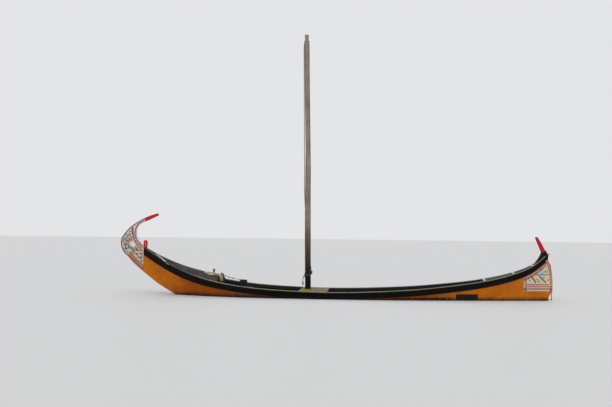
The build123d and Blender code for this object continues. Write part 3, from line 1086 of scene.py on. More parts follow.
@dataclass
class Coat:
    """Flat painted shapes of one colour, drawn in the plane of the keel and laid on the hull."""

    finish: Timber
    lift: float
    pitch: float = 0.022
    halvings: int = 6
    probes: tuple[float, ...] = (-0.008, 0.0, 0.008)
    shapes: list[list[Point]] = field(default_factory=list)

    def stroke(self, line: Sequence[Point], width: float) -> None:
        """Draw a line of a width, as one short piece after another.

        Args:
            line: The line's corners.
            width: The line's width.
        """
        points = spaced(line, self.pitch)
        left, right = aside(points, width / 2), aside(points, -width / 2)
        for index in range(len(points) - 1):
            self.shapes.append([left[index], right[index], right[index + 1], left[index + 1]])

    def disc(
        self, centre: Point, radius: float, tall: float = 1.0, lean: float = 0.0, sides: int = 14
    ) -> None:
        """Draw a disc or an oval, leaning by an angle.

        Args:
            centre: Its centre.
            radius: Its half width.
            tall: Its height as a share of its width.
            lean: How far it is turned, in radians.
            sides: How many corners it has.
        """
        shape = []
        for index in range(sides):
            angle = math.tau * index / sides
            x, z = radius * math.cos(angle), tall * radius * math.sin(angle)
            across = x * math.cos(lean) - z * math.sin(lean)
            shape.append((centre[0] + across, centre[1] + x * math.sin(lean) + z * math.cos(lean)))
        self.shapes.append(shape)

    def leaf(self, root: Point, angle: float, length: float, width: float) -> None:
        """Draw a pointed leaf from its root.

        Args:
            root: Where it starts.
            angle: Its direction, in radians.
            length: Its length.
            width: Its width.
        """
        along, across = (math.cos(angle), math.sin(angle)), (-math.sin(angle), math.cos(angle))
        upper = [(0.22, 0.36), (0.5, 0.5), (0.78, 0.32)]
        lower = [(share, -out) for share, out in reversed(upper)]
        shape = []
        for share, out in [(0.0, 0.0)] + upper + [(1.0, 0.0)] + lower:
            x = root[0] + along[0] * share * length + across[0] * out * width
            shape.append((x, root[1] + along[1] * share * length + across[1] * out * width))
        self.shapes.append(shape)

    def flower(self, centre: Point, reach: float, petals: int = 6) -> None:
        """Draw petals round a centre.

        Args:
            centre: Its centre.
            reach: How far its petals reach.
            petals: How many petals it has.
        """
        for index in range(petals):
            angle = math.tau * index / petals
            root = (centre[0] + 0.2 * reach * math.cos(angle), centre[1] + 0.2 * reach * math.sin(angle))
            self.leaf(root, angle, 0.8 * reach, 0.5 * reach)

    def flat_mesh(self) -> bmesh.types.BMesh:
        """Draw the shapes in the plane of the keel.

        Returns:
            The flat mesh, cut into triangles that are short enough to follow the hull.
        """
        paint = bmesh.new()
        for shape in self.shapes:
            paint.faces.new([paint.verts.new((x, 0, z)) for x, z in shape])
        bmesh.ops.triangulate(paint, faces=paint.faces[:])
        for _ in range(self.halvings):
            long = [edge for edge in paint.edges if edge.calc_length() > 1.6 * self.pitch]
            if not long:
                break
            bmesh.ops.subdivide_edges(paint, edges=long, cuts=1)
            bmesh.ops.triangulate(paint, faces=paint.faces[:])
        return paint

    def drape(self, paint: bmesh.types.BMesh, shell: BVHTree, side: int) -> None:
        """Move the flat mesh onto one side of the hull, without the corners that miss it.

        Args:
            paint: The flat mesh.
            shell: The surface that it lies on.
            side: -1 to port, 1 to starboard.
        """
        lost = []
        for corner in paint.verts:
            starts = [Vector((corner.co.x + step, OUTBOARD * side, corner.co.z)) for step in self.probes]
            hits = [shell.ray_cast(start, Vector((0, -side, 0)))[0] for start in starts]
            found = sorted(hit.y for hit in hits if hit is not None)
            if found:
                corner.co.y = found[len(found) // 2] + side * self.lift / 2
            else:
                lost.append(corner)
        bmesh.ops.delete(paint, geom=lost, context="VERTS")
        for face in paint.faces:
            if face.normal.y * side < 0:
                face.normal_flip()

    def lay(self, name: str, shell: BVHTree, slot: str) -> list[Piece]:
        """Lay the shapes on both sides of the hull.

        Args:
            name: The name of the piece, to which the side is added.
            shell: The surface that it lies on.
            slot: A material slot's name; not used.

        Returns:
            The port and the starboard piece.
        """
        made = []
        for side, label in ((-1, "port"), (1, "starboard")):
            paint = self.flat_mesh()
            self.drape(paint, shell, side)
            piece = shaped(f"{name}_{label}", paint)
            modify(piece, "SOLIDIFY", thickness=self.lift, offset=0.0)
            made.append(settle(piece, "hull", self.finish))
        return made


# assemblies


@dataclass
class Planking:
    """Side planks, sheer bands, gunwale caps and deck boards, bent smoothly along the hull."""

    edge_round: float = 0.003
    inward: float = -0.2

    def build(self) -> list[Piece]:
        """Make the smooth runs, their faces towards the hold left unpainted and nearly black, partly
        painted shade.

        Returns:
            The new pieces.
        """
        made = []
        for side, outboard in (("port", -1), ("starboard", 1)):
            for kind, slot, finish in (
                ("side_lower_strake", "hull_plank", ORANGE),
                ("side_upper_strake", "hull_plank", ORANGE),
                ("sheer_band", "band_black", BLACK),
                ("gunwale_cap", "bare_wood", CAP),
            ):
                node = f"{kind}_{side}"
                piece = fair_run(node, f"{node}_faired")
                made.append(piece)
                if kind == "gunwale_cap":
                    bevel(piece, self.edge_round, 2, 50)
                    smooth(piece)
                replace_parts(settle(piece, "hull", finish), node)
                # Faces towards the hold get the nearly black hold planks, partly painted shade.
                if kind != "gunwale_cap":
                    repaint(piece, HOLD_PLANKS_DARK_AND_SHADE, lambda normal, out=outboard: normal.y * out < self.inward)
        for node in ("fore_deck_planks", "aft_deck_planks"):
            piece = fair_run(node, f"{node}_faired")
            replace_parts(settle(piece, "hull", DECK), node)
            made.append(piece)
        return made


@dataclass(frozen=True)
class Border:
    """A stripe along a line, or a row of beads where it has a pitch.

    Its size is the stripe's width or the beads' radius, and it is shifted to its line's right.
    """

    line: Sequence[Point]
    colours: str
    size: float
    shift: float = 0.0
    pitch: float = 0.0


@dataclass
class Ornament:
    """Coats of paint in several colours, laid one over the other on the hull."""

    prefix: str
    slot: str
    shell: BVHTree
    order: str
    base_lift: float = 0.0012
    lift_step: float = 0.0006

    def __post_init__(self) -> None:
        """Begin a coat of each colour, every one a little thicker than the last."""
        self.coats: dict[str, Coat] = {}
        for number, colour in enumerate(self.order.split()):
            self.coats[colour] = Coat(ORNAMENT[colour], self.base_lift + self.lift_step * number)

    def frame(self, borders: Sequence[Border]) -> None:
        """Paint stripes and rows of beads along their lines.

        Args:
            borders: The stripes and rows, in the order in which they are painted.
        """
        for border in borders:
            line, colours = aside(border.line, -border.shift), border.colours.split()
            if border.pitch:
                for index, place in enumerate(spaced(line, border.pitch)):
                    self.coats[colours[index % len(colours)]].disc(place, border.size)
            else:
                self.coats[colours[0]].stroke(line, border.size)

    def lay(self) -> list[Piece]:
        """Lay every coat on both sides of the hull.

        Returns:
            The coats.
        """
        made = []
        for colour, coat in self.coats.items():
            made += coat.lay(f"{self.prefix}_{colour}", self.shell, self.slot)
        return made


@dataclass
class Panel:
    """A painted panel on both sides of the boat."""

    shell: BVHTree
    name: str
    order: str

    def build(self) -> list[Piece]:
        """Paint both sides.

        Returns:
            The coats.
        """
        paint = Ornament(self.name, "bow_paint", self.shell, self.order)
        self.borders(paint)
        self.motifs(paint)
        return paint.lay()

    def borders(self, paint: Ornament) -> None:
        """Paint the panel's ground and frame."""
        raise NotImplementedError

    def motifs(self, paint: Ornament) -> None:
        """Paint what the frame holds."""
        raise NotImplementedError


@dataclass
class BowPanel(Panel):
    """The painted panel on both sides of the curled bow, with its borders and flowers."""

    name: str = "bow_panel"
    order: str = "hull salmon grey dark red brown green yellow blue white orange"
    joint: float = -6.66
    line: float = 0.013
    bead_pitch: float = 0.062
    zigzag_line: float = 0.011
    zigzag_pitch: float = 0.07
    sprig_tries: int = 420
    broad_leaves: tuple[tuple[Point, float, float], ...] = (
        ((-7.36, 1.99), -0.35, 0.12), ((-7.25, 1.93), -0.7, 0.12), ((-7.16, 1.87), -0.4, 0.13),
        ((-7.34, 1.90), -1.0, 0.09), ((-7.22, 2.36), -0.6, 0.10), ((-6.94, 1.79), 0.3, 0.10),
        ((-7.10, 1.80), -0.5, 0.11),
    )
    slim_leaves: tuple[tuple[Point, float, float], ...] = (
        ((-7.28, 2.27), 0.5, 0.10), ((-7.14, 2.22), -0.4, 0.09), ((-7.10, 2.42), -1.1, 0.12),
        ((-7.30, 2.15), 1.2, 0.08), ((-7.03, 1.64), 0.3, 0.09), ((-6.86, 1.55), -1.0, 0.10),
        ((-6.79, 1.62), 0.1, 0.09), ((-6.80, 1.46), 0.7, 0.08), ((-7.42, 2.06), 1.4, 0.08),
        ((-7.08, 2.60), -1.6, 0.16), ((-6.76, 1.33), 1.2, 0.09),
    )
    blossoms: tuple[tuple[Point, float, str, str], ...] = (
        ((-6.90, 1.64), 0.068, "orange", "brown"), ((-7.19, 2.33), 0.05, "orange", "dark"),
        ((-7.40, 1.80), 0.045, "red", "yellow"), ((-7.33, 2.34), 0.04, "salmon", "red"),
        ((-6.76, 1.54), 0.035, "salmon", "red"), ((-7.22, 2.50), 0.036, "red", "white"),
        ((-7.42, 2.16), 0.036, "blue", "orange"),
    )

    def outer_edge(self) -> list[Point]:
        """Follow the blade's outer edge from its lower rim to the tip.

        Returns:
            The edge's points.
        """
        return chain(
            arc((-7.262, 1.582), (-7.486, 1.915), (-7.476, 2.199)),
            arc((-7.476, 2.199), (-7.229, 2.524), (-6.851, 2.801)),
            arc((-6.851, 2.801), (-6.75, 2.859), (-6.66, 2.908), 4),
        )

    def lower_rim(self) -> list[Point]:
        """Follow the blade's lower edge from the hull to the panel's foot."""
        return arc((-6.66, 1.018), (-7.0, 1.31), (-7.262, 1.582))

    def inner_edge(self) -> list[Point]:
        """Follow the hollow of the curl from the tip down to the bitts.

        Returns:
            The edge's points.
        """
        return chain(
            [(-6.66, 2.785), (-6.70, 2.768)],
            arc((-6.70, 2.768), (-6.89, 2.63), (-6.952, 2.428)),
            arc((-6.952, 2.428), (-6.904, 2.181), (-6.812, 2.058)),
            [(-6.812, 2.058), (-6.70, 1.925)],
        )

    def borders(self, paint: Ornament) -> None:
        """Paint the rim, the beaded borders and the zigzag above the stem.

        Args:
            paint: The coats to paint with.
        """
        outer, lower, inner = self.outer_edge(), self.lower_rim(), self.inner_edge()
        second = arc((-7.03, 2.33), (-6.955, 2.05), (-6.70, 1.70), 16)
        zigzag_foot, zigzag_head = 0.066, 0.17
        rows = [
            Border(lower, "hull", 0.05, 0.03),
            Border(outer, "dark", 0.03, 0.017),
            Border(outer, "salmon brown green grey", 0.012, 0.062, 0.085),
            Border(inner, "red", 0.03, 0.026),
            Border(inner[14:], "orange green red blue", 0.02, 0.078, self.bead_pitch),
            Border(inner[10:], "grey", self.line, 0.118),
            Border(second, "grey", self.line),
            Border(second, "blue yellow red white", 0.016, -0.038, self.bead_pitch),
            Border(lower, "salmon", 0.085, 0.118),
            Border(lower, "brown", 0.02, zigzag_foot),
            Border(lower, "yellow brown green red", 0.014, 0.2, self.zigzag_pitch),
            Border(lower, "dark", self.line, zigzag_head),
            Border([(self.joint, 1.13), (self.joint, 1.60)], "red", self.line),
        ]
        feet = spaced(aside(lower, -zigzag_foot), self.zigzag_pitch)
        heads = spaced(aside(lower, -zigzag_head), self.zigzag_pitch)
        rows += [Border(pair, "dark", self.zigzag_line) for pair in zip(feet, heads)]
        rows += [Border(pair, "grey", self.zigzag_line) for pair in zip(feet, heads[1:])]
        paint.frame(rows)

    def motifs(self, paint: Ornament) -> None:
        """Paint the medallion, the garland, the leaves, the blossoms and the sprigs of the field.

        Args:
            paint: The coats to paint with.
        """
        coats = paint.coats
        heart, lean = (-7.055, 1.985), -0.75
        coats["red"].disc(heart, 0.135, 0.68, lean, 28)
        coats["white"].disc(heart, 0.118, 0.66, lean, 28)
        coats["salmon"].flower(heart, 0.055)
        coats["orange"].disc(heart, 0.016)
        coats["red"].stroke(arc((-7.26, 2.07), (-7.10, 2.15), (-6.90, 2.02)), self.line)
        garland = arc((-7.33, 1.77), (-7.15, 1.68), (-6.97, 1.77))
        coats["yellow"].stroke(garland, 0.024)
        for index, place in enumerate(spaced(garland, 0.045)):
            coats["green"].leaf(place, 2.2 if index % 2 else -1.0, 0.05, 0.022)
        for root, angle, length in self.broad_leaves:
            coats["brown"].leaf(root, angle, length, 0.05)
        for root, angle, length in self.slim_leaves:
            coats["dark"].leaf(root, angle, length, 0.028)
        coats["grey"].stroke([(-7.10, 2.61), (-7.045, 2.48), (-7.03, 2.33)], 0.02)
        coats["blue"].stroke([(-7.01, 2.32), (-6.985, 2.19)], 0.03)
        for centre, reach, colour, core in self.blossoms:
            coats[colour].flower(centre, reach)
            coats[core].disc(centre, reach * 0.24)
        self.sprigs(paint)

    def sprigs(self, paint: Ornament) -> None:
        """Fill the field between the motifs with small sprigs, evenly spread.

        Args:
            paint: The coats to paint with.
        """
        taken = [((-7.055, 1.985), 0.16), ((-7.15, 1.70), 0.12)]
        taken += [((-6.90, 1.64), 0.10), ((-7.19, 2.33), 0.08)]
        outer, lower, inner = self.outer_edge(), self.lower_rim(), self.inner_edge()
        outline = lower[:1] + lower + outer + inner
        rim = [(place, 0.09) for line in (outer, inner) for place in spaced(line, 0.05)]
        rim += [(place, 0.245) for place in spaced(lower, 0.05)]
        colours = ("dark", "brown", "dark", "orange", "green", "dark", "red", "grey")
        made = 0
        for step in range(self.sprig_tries):
            reach, angle = 0.66 * math.sqrt((step + 0.5) / self.sprig_tries), GOLDEN_ANGLE * step
            place = (-7.04 + 0.62 * reach * math.cos(angle), 1.86 + 1.15 * reach * math.sin(angle))
            crowded = any(math.dist(place, centre) < clear for centre, clear in taken + rim)
            if crowded or not inside_outline(place, outline):
                continue
            coat, turn = paint.coats[colours[made % len(colours)]], 1.7 * made
            coat.leaf(place, turn, 0.07, 0.032)
            coat.leaf(place, turn + 2.2, 0.055, 0.026)
            paint.coats[colours[(made + 3) % len(colours)]].disc(place, 0.014, sides=8)
            taken.append((place, 0.066))
            made += 1


@dataclass
class SternPanel(Panel):
    """The painted panel on both quarters, from the planks to the edge of the stern post."""

    name: str = "stern_panel"
    order: str = "white cream salmon grey green navy red pale blue dark orange brown yellow"
    left: float = 6.50
    foot: float = 0.575

    def top_line(self, drop: float) -> list[Point]:
        """Follow the panel's upper edge, a distance under the sheer band."""
        return arc((self.left, 1.025 - drop), (6.96, 1.28 - drop), (7.30, 1.62 - drop), 14)

    def after_line(self, inset: float) -> list[Point]:
        """Follow the panel's after edge down the stern post."""
        return arc((7.348 - inset, 1.60), (7.478 - inset, 1.11), (7.482 - inset, self.foot), 14)

    def borders(self, paint: Ornament) -> None:
        """Paint the pale ground and its frame of lines and beads.

        Args:
            paint: The coats to paint with.
        """
        after = self.after_line(0.0)
        paint.coats["white"].shapes.append([(self.left, self.foot)] + self.top_line(0.0) + after)
        field_left, field_foot = self.left + 0.1, self.foot + 0.12
        ground = [(field_left, field_foot)] + [(x, z) for x, z in self.top_line(0.09) if x > field_left]
        ground += self.after_line(0.085)[1:]
        paint.coats["cream"].shapes.append([(x, max(z, field_foot)) for x, z in ground])
        foot = [(self.left, self.foot), (after[-1][0], self.foot)]
        side = [(self.left, self.foot), (self.left, 1.02)]
        rows = [
            Border(foot, "navy", 0.026, -0.04),
            Border(side, "grey", 0.02, 0.03),
            Border(side, "brown", 0.014, 0.062),
            Border(foot, "salmon", 0.05, -0.088),
            Border(side, "salmon", 0.036, 0.09),
            Border(foot, "brown green red", 0.013, -0.088, 0.06),
            Border(side[::-1], "brown red", 0.011, -0.09, 0.06),
            Border(self.top_line(0.06), "salmon", 0.075),
            Border(self.top_line(0.018), "green", 0.012),
            Border(self.top_line(0.105), "red", 0.02),
            Border(self.top_line(0.06), "red brown white", 0.016, 0.0, 0.07),
            Border(self.after_line(0.05), "salmon", 0.05),
            Border(self.after_line(0.012), "green", 0.016),
            Border(self.after_line(0.08), "red", 0.014),
            Border(self.after_line(0.05), "white red", 0.014, 0.0, 0.07),
        ]
        for level in (0.80, 0.735):
            stripe = [(self.left + 0.115, level), (7.38, level)]
            beads = [(self.left + 0.13, level), (7.36, level)]
            rows += [Border(stripe, "red", 0.026), Border(beads, "salmon brown", 0.009, 0.032, 0.05)]
        paint.frame(rows)

    def motifs(self, paint: Ornament) -> None:
        """Paint the corner sail shapes, the leaning boughs and the blossoms.

        Args:
            paint: The coats to paint with.
        """
        coats = paint.coats
        coats["green"].stroke([(6.84, 1.125), (7.37, 1.125)], 0.026)
        coats["pale"].shapes.append([(6.97, 1.145), (7.20, 1.145), (7.20, 1.335)])
        coats["blue"].shapes.append([(7.05, 1.145), (7.20, 1.145), (7.20, 1.26)])
        coats["white"].shapes.append([(7.215, 1.145), (7.34, 1.145), (7.30, 1.40), (7.215, 1.34)])
        coats["navy"].stroke([(6.97, 1.14), (7.285, 1.425)], 0.014)
        coats["red"].flower((7.27, 1.23), 0.05)
        for first, last in (((6.74, 1.08), (6.93, 0.85)), ((7.02, 1.09), (7.28, 0.85))):
            coats["dark"].stroke([first, last], 0.022)
            for place in spaced([first, last], 0.045)[1:-1]:
                coats["green"].leaf(place, 0.9, 0.05, 0.02)
                coats["brown"].leaf(place, -2.4, 0.035, 0.016)
        centres = ((6.70, 0.92), (6.97, 0.97), (7.02, 0.90), (7.20, 1.03), (7.35, 0.95), (6.66, 1.00))
        for centre, colour in zip(centres, ("orange", "yellow", "brown", "orange", "red", "red")):
            coats[colour].flower(centre, 0.034)
            coats["dark"].disc(centre, 0.009)


@dataclass
class SideMarks:
    """The blank dark panel, the dark marks along the waterline, and a painted highlight: a thin white line
    along the top of the black band near the bow.
    """

    shell: BVHTree
    band: BVHTree
    panel: tuple[float, float, float, float] = (4.19, 4.93, 0.20, 0.462)
    streak: Place = (2.15, 3.86, 0.305)
    streak_width: float = 0.07
    streak_pieces: int = 9
    ring: Point = (3.97, 0.32)
    wet_line: Point = (-5.55, -2.5)
    wet_width: float = 0.026
    wet_pieces: int = 14

    def build(self) -> list[Piece]:
        """Paint the marks on the side planks and the bands.

        Returns:
            The painted pieces.
        """
        # Painted highlight: a thin white stroke along the top of the black band near the bow, where the
        # gunwale's edge catches the light.
        pale = Ornament("sheer_painted_highlight", "band_black", self.band, "white")
        pale.coats["white"].stroke(arc((-6.23, 1.668), (-5.98, 1.512), (-5.66, 1.300), 10), 0.013)
        paint = Ornament("waterline", "band_black", self.shell, "tar brown")
        tar = paint.coats["tar"]
        low_x, high_x, low_z, high_z = self.panel
        middle = (low_z + high_z) / 2
        tar.stroke([(low_x, middle), (high_x, middle)], high_z - low_z)
        paint.coats["brown"].stroke([(low_x, high_z), (high_x, high_z)], 0.012)
        # A dark streak just above the waterline that gets wider aft, and a small dark ring just aft of its
        # end.
        start, end, level = self.streak
        for index in range(self.streak_pieces):
            share = index / self.streak_pieces
            x = start + share * (end - start)
            reach = 0.8 * (end - start) / self.streak_pieces
            tar.stroke([(x, level), (x + reach, level + 0.004)], self.streak_width * (0.35 + 0.65 * share))
        tar.disc(self.ring, 0.036)
        start, end = self.wet_line
        for index in range(self.wet_pieces):
            x = start + (end - start) * index / self.wet_pieces
            width = self.wet_width + 0.02 * noise.noise(Vector((3 * x, 0, 0)))
            level = WATERLINE + width / 2
            tar.stroke([(x, level), (x + (end - start) / self.wet_pieces, level)], width)
        return pale.lay() + paint.lay()


@dataclass
class NodeFinishes:
    """The finishes of the frame's own nodes."""

    low_batten_from: float = 6.4
    batten_lift: float = 0.012
    upward: float = 0.3

    def build(self) -> None:
        """Paint the plain nodes, the bottom and the cross battens."""
        # The hold's timbers, bulkheads and door are nearly black, partly painted shade.
        plain = {
            HOLD_TIMBER_DARK_AND_SHADE: "floor_boards inner_wale_port inner_wale_starboard mast_step mast_partner",
            HOLD_CROSS_DARK_AND_SHADE: "floor_timbers side_frames_port side_frames_starboard fore_deck_beams "
            "aft_deck_beams mast_thwart_beams seat_thwarts fore_bulkhead aft_bulkhead fore_door",
            THWART: "mast_thwart",
            DECK: "breasthook",
            IRON: "door_straps door_pintles rudder_irons",
        }
        for finish, nodes in plain.items():
            for node in nodes.split():
                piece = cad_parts[node]
                piece.data.materials.clear()
                piece.data.materials.append(finish.build())
        # The bottom's upward faces get the nearly black hold planks, partly painted shade.
        for node in ("bottom_planks", "stem_foot"):
            piece = settle(merged_copy(node, f"{node}_painted"), "hull", ORANGE)
            repaint(piece, HOLD_PLANKS_DARK_AND_SHADE, lambda normal: normal.z > self.upward)
            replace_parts(piece, node)
        battens = merged_copy("aft_deck_battens", "aft_deck_battens_raised")
        settle(battens, "hull", CREAM)
        for corner in battens.data.vertices:
            if corner.co.x > self.low_batten_from:
                corner.co.z += self.batten_lift
        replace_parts(battens, "aft_deck_battens")
        LOG.info("frame nodes painted")


@dataclass
class EndTimbers:
    """The blade of the bow, the stern post, the horns and the deck gear, with worn edges."""

    horn_half: float = 0.038
    forward: float = -0.6

    def build(self) -> dict[str, Piece]:
        """Make the rounded timbers.

        Returns:
            The new piece for each frame node.
        """
        rows = (
            ("stem_blade", "bow_paint", CREAM, 0.007, 0.09),
            ("stem_tip", "red_paint", RED, 0.009, 0.0),
            ("stern_post", "hull_plank", POST, 0.008, 0.06),
            ("bow_bitts", "red_paint", RED, 0.007, 0.0),
            ("deck_cleat", "band_black", BLACK, 0.006, 0.0),
            ("mooring_block", "bare_wood", MOSSY, 0.014, 0.0),
        )
        made = {}
        for node, slot, finish, width, kink in rows:
            piece = rounded_copy(node, f"{node}_worn", width, kink)
            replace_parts(settle(piece, "hull", finish), node)
            made[node] = piece
        made["stern_horn"] = self.horn()
        made["deck_post"] = self.deck_post()
        return made

    def horn(self) -> Piece:
        """Make the stern horn, which sweeps up out of the gunwale's curve.

        Returns:
            The horn, tarred on its fore face.
        """
        outline = chain(
            arc((6.93, 1.560), (7.048, 1.715), (7.122, 1.885)),
            arc((7.122, 1.885), (7.012, 2.150), (6.911, 2.395)),
            [(6.911, 2.395), (6.998, 2.406)],
            arc((6.998, 2.406), (7.130, 2.190), (7.250, 1.955)),
            [(7.250, 1.955), (7.250, 1.50), (6.935, 1.50)],
        )
        piece = linked("stern_horn_carved", bpy.data.meshes.new("stern_horn_carved"))
        with editing(piece) as mesh:
            mesh.faces.new([mesh.verts.new((x, -self.horn_half, z)) for x, z in outline])
            bmesh.update_edit_mesh(piece.data)
            bpy.ops.mesh.select_all(action="SELECT")
            bpy.ops.mesh.extrude_region_move(TRANSFORM_OT_translate={"value": (0, 2 * self.horn_half, 0)})
            bpy.ops.mesh.select_all(action="SELECT")
            bpy.ops.mesh.normals_make_consistent(inside=False)
        bevel(piece, 0.012, 3, 40)
        smooth(piece, 35)
        repaint(settle(piece, "hull", HORN), BLACK, lambda normal: normal.x < self.forward)
        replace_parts(piece, "stern_horn")
        return piece

    def deck_post(self) -> Piece:
        """Turn the mooring post on the foredeck, with its rounded cap.

        Returns:
            The post.
        """
        low, high = (Vector(corner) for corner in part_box("deck_post"))
        centre = (low + high) / 2
        tall = high.z - low.z
        cap = ((0.029, 0.045), (0.036, 0.032), (0.045, 0.024), (0.046, 0.012), (0.034, 0.003), (0.0, 0.0))
        profile = [(0.0, 0.0), (0.034, 0.0), (0.030, 0.4 * tall)]
        profile += [(radius, tall - drop) for radius, drop in cap]
        piece = turned("deck_post_turned", (centre.x, centre.y, low.z), profile)
        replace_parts(settle(piece, "hull", BLACK), "deck_post")
        return piece


@dataclass
class Mast:
    """The pole, slimmer and a little bent above its wet foot."""

    foot_x: float = -0.836
    level: float = 0.474
    lean: float = math.radians(0.935)
    rings: int = 64
    worn_from: float = 0.8
    head: float = 9.19
    slim: tuple[Point, ...] = (
        (3.3, 1.0), (4.2, 0.91), (5.0, 0.86), (6.2, 0.86), (7.5, 0.89), (9.0, 0.90), (9.19, 0.90)
    )
    bow_out: tuple[Point, ...] = (
        (0.8, 0.0), (3.4, 0.005), (4.2, 0.024), (4.7, 0.035), (5.2, 0.032), (5.8, 0.021), (7.5, 0.008),
        (8.9, 0.006), (9.19, 0.0),
    )

    def centre(self, height: float) -> float:
        """Return the axis's X at a height."""
        return self.foot_x - math.tan(self.lean) * (height - self.level)

    def build(self) -> Piece:
        """Shape the pole.

        Returns:
            The pole.
        """
        pole = merged_copy("mast", "mast_pole")
        with editing(pole):
            bpy.ops.mesh.select_all(action="SELECT")
            bpy.ops.mesh.dissolve_limited(angle_limit=math.radians(0.5))
            mesh = bmesh.from_edit_mesh(pole.data)
            pick(pole, [edge for edge in mesh.edges if edge.calc_length() > 3])
            bpy.ops.mesh.subdivide(number_cuts=self.rings)
            mesh = bmesh.from_edit_mesh(pole.data)
            for corner in mesh.verts:
                self.shift(corner.co)
            bmesh.update_edit_mesh(pole.data)
        bevel(pole, 0.006, 2, 50)
        smooth(pole, 40)
        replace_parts(settle(pole, "mast", MAST), "mast")
        return pole

    def shift(self, place: Vector) -> None:
        """Move a point of the true round pole to where the worn one has it.

        Args:
            place: The point, which is moved.
        """
        height = place.z
        if not self.worn_from < height < self.head + 0.02:
            return
        axis = self.centre(height)
        out = Vector((place.x - axis, place.y))
        angle = math.atan2(out.y, out.x)
        fade = min(1.0, (height - self.worn_from) / 0.5, max(0.0, (self.head - height) / 0.4))
        lumps = 0.016 * math.sin(3 * angle + 2.1 * height) + 0.011 * math.sin(5 * angle - 3.3 * height)
        out *= between(self.slim, height) * (1 + fade * lumps)
        place.x = axis + between(self.bow_out, height) + out.x
        place.y = out.y


@dataclass
class Rope:
    """A laid rope of three strands along one smooth line."""

    name: str
    route: Sequence[Place]
    diameter: float
    lay_length: float = 0.08
    ring_gap: float = 0.01
    sides: int = 15
    groove: float = 0.2

    def line(self) -> list[Place]:
        """Read the smooth line off a spline whose control points are the route.

        Returns:
            The line's evenly spaced points.
        """
        curve = bpy.data.curves.new(f"{self.name}_line", "CURVE")
        curve.dimensions = "3D"
        curve.resolution_u = 12
        spline = curve.splines.new("NURBS")
        spline.points.add(len(self.route) - 1)
        for point, place in zip(spline.points, self.route):
            point.co = (*place, 1.0)
        spline.order_u = 3
        spline.use_endpoint_u = True
        guide = linked(f"{self.name}_line", curve)
        mesh = bpy.data.meshes.new_from_object(guide)
        places = [tuple(vertex.co) for vertex in mesh.vertices]
        bpy.data.objects.remove(guide)
        bpy.data.curves.remove(curve)
        bpy.data.meshes.remove(mesh)
        return spaced(places, self.ring_gap)

    def strands(self, line: Sequence[Place]) -> Piece:
        """Lay the three strands round the line.

        Args:
            line: The evenly spaced points of the line.

        Returns:
            The rope's mesh, not painted yet.
        """
        places = [Vector(place) for place in line]
        last = len(places) - 1
        shape = bmesh.new()
        across = (places[1] - places[0]).orthogonal().normalized()
        rings: list[list[bmesh.types.BMVert]] = []
        for index, place in enumerate(places):
            along = (places[min(index + 1, last)] - places[max(index - 1, 0)]).normalized()
            across = (across - along * across.dot(along)).normalized()
            beside = along.cross(across)
            turn = math.tau * index * self.ring_gap / self.lay_length
            ring = []
            for side in range(self.sides):
                angle = math.tau * side / self.sides
                lobe = abs(math.cos(1.5 * (angle - turn)))
                reach = self.diameter / 2 * (1 - self.groove + self.groove * lobe)
                out = math.cos(angle) * across + math.sin(angle) * beside
                ring.append(shape.verts.new(place + reach * out))
            rings.append(ring)
        for ring, following in zip(rings, rings[1:]):
            for side in range(self.sides):
                after = (side + 1) % self.sides
                shape.faces.new((ring[side], ring[after], following[after], following[side]))
        shape.faces.new(rings[0][::-1])
        shape.faces.new(rings[-1])
        piece = shaped(self.name, shape)
        smooth(piece, 50)
        return piece

    def build(self, body: str, finish: Finish) -> Piece:
        """Lay a loose rope, such as a knot.

        Args:
            body: The body that it rides on.
            finish: Its finish.

        Returns:
            The rope.
        """
        return settle(self.strands(self.line()), body, finish)


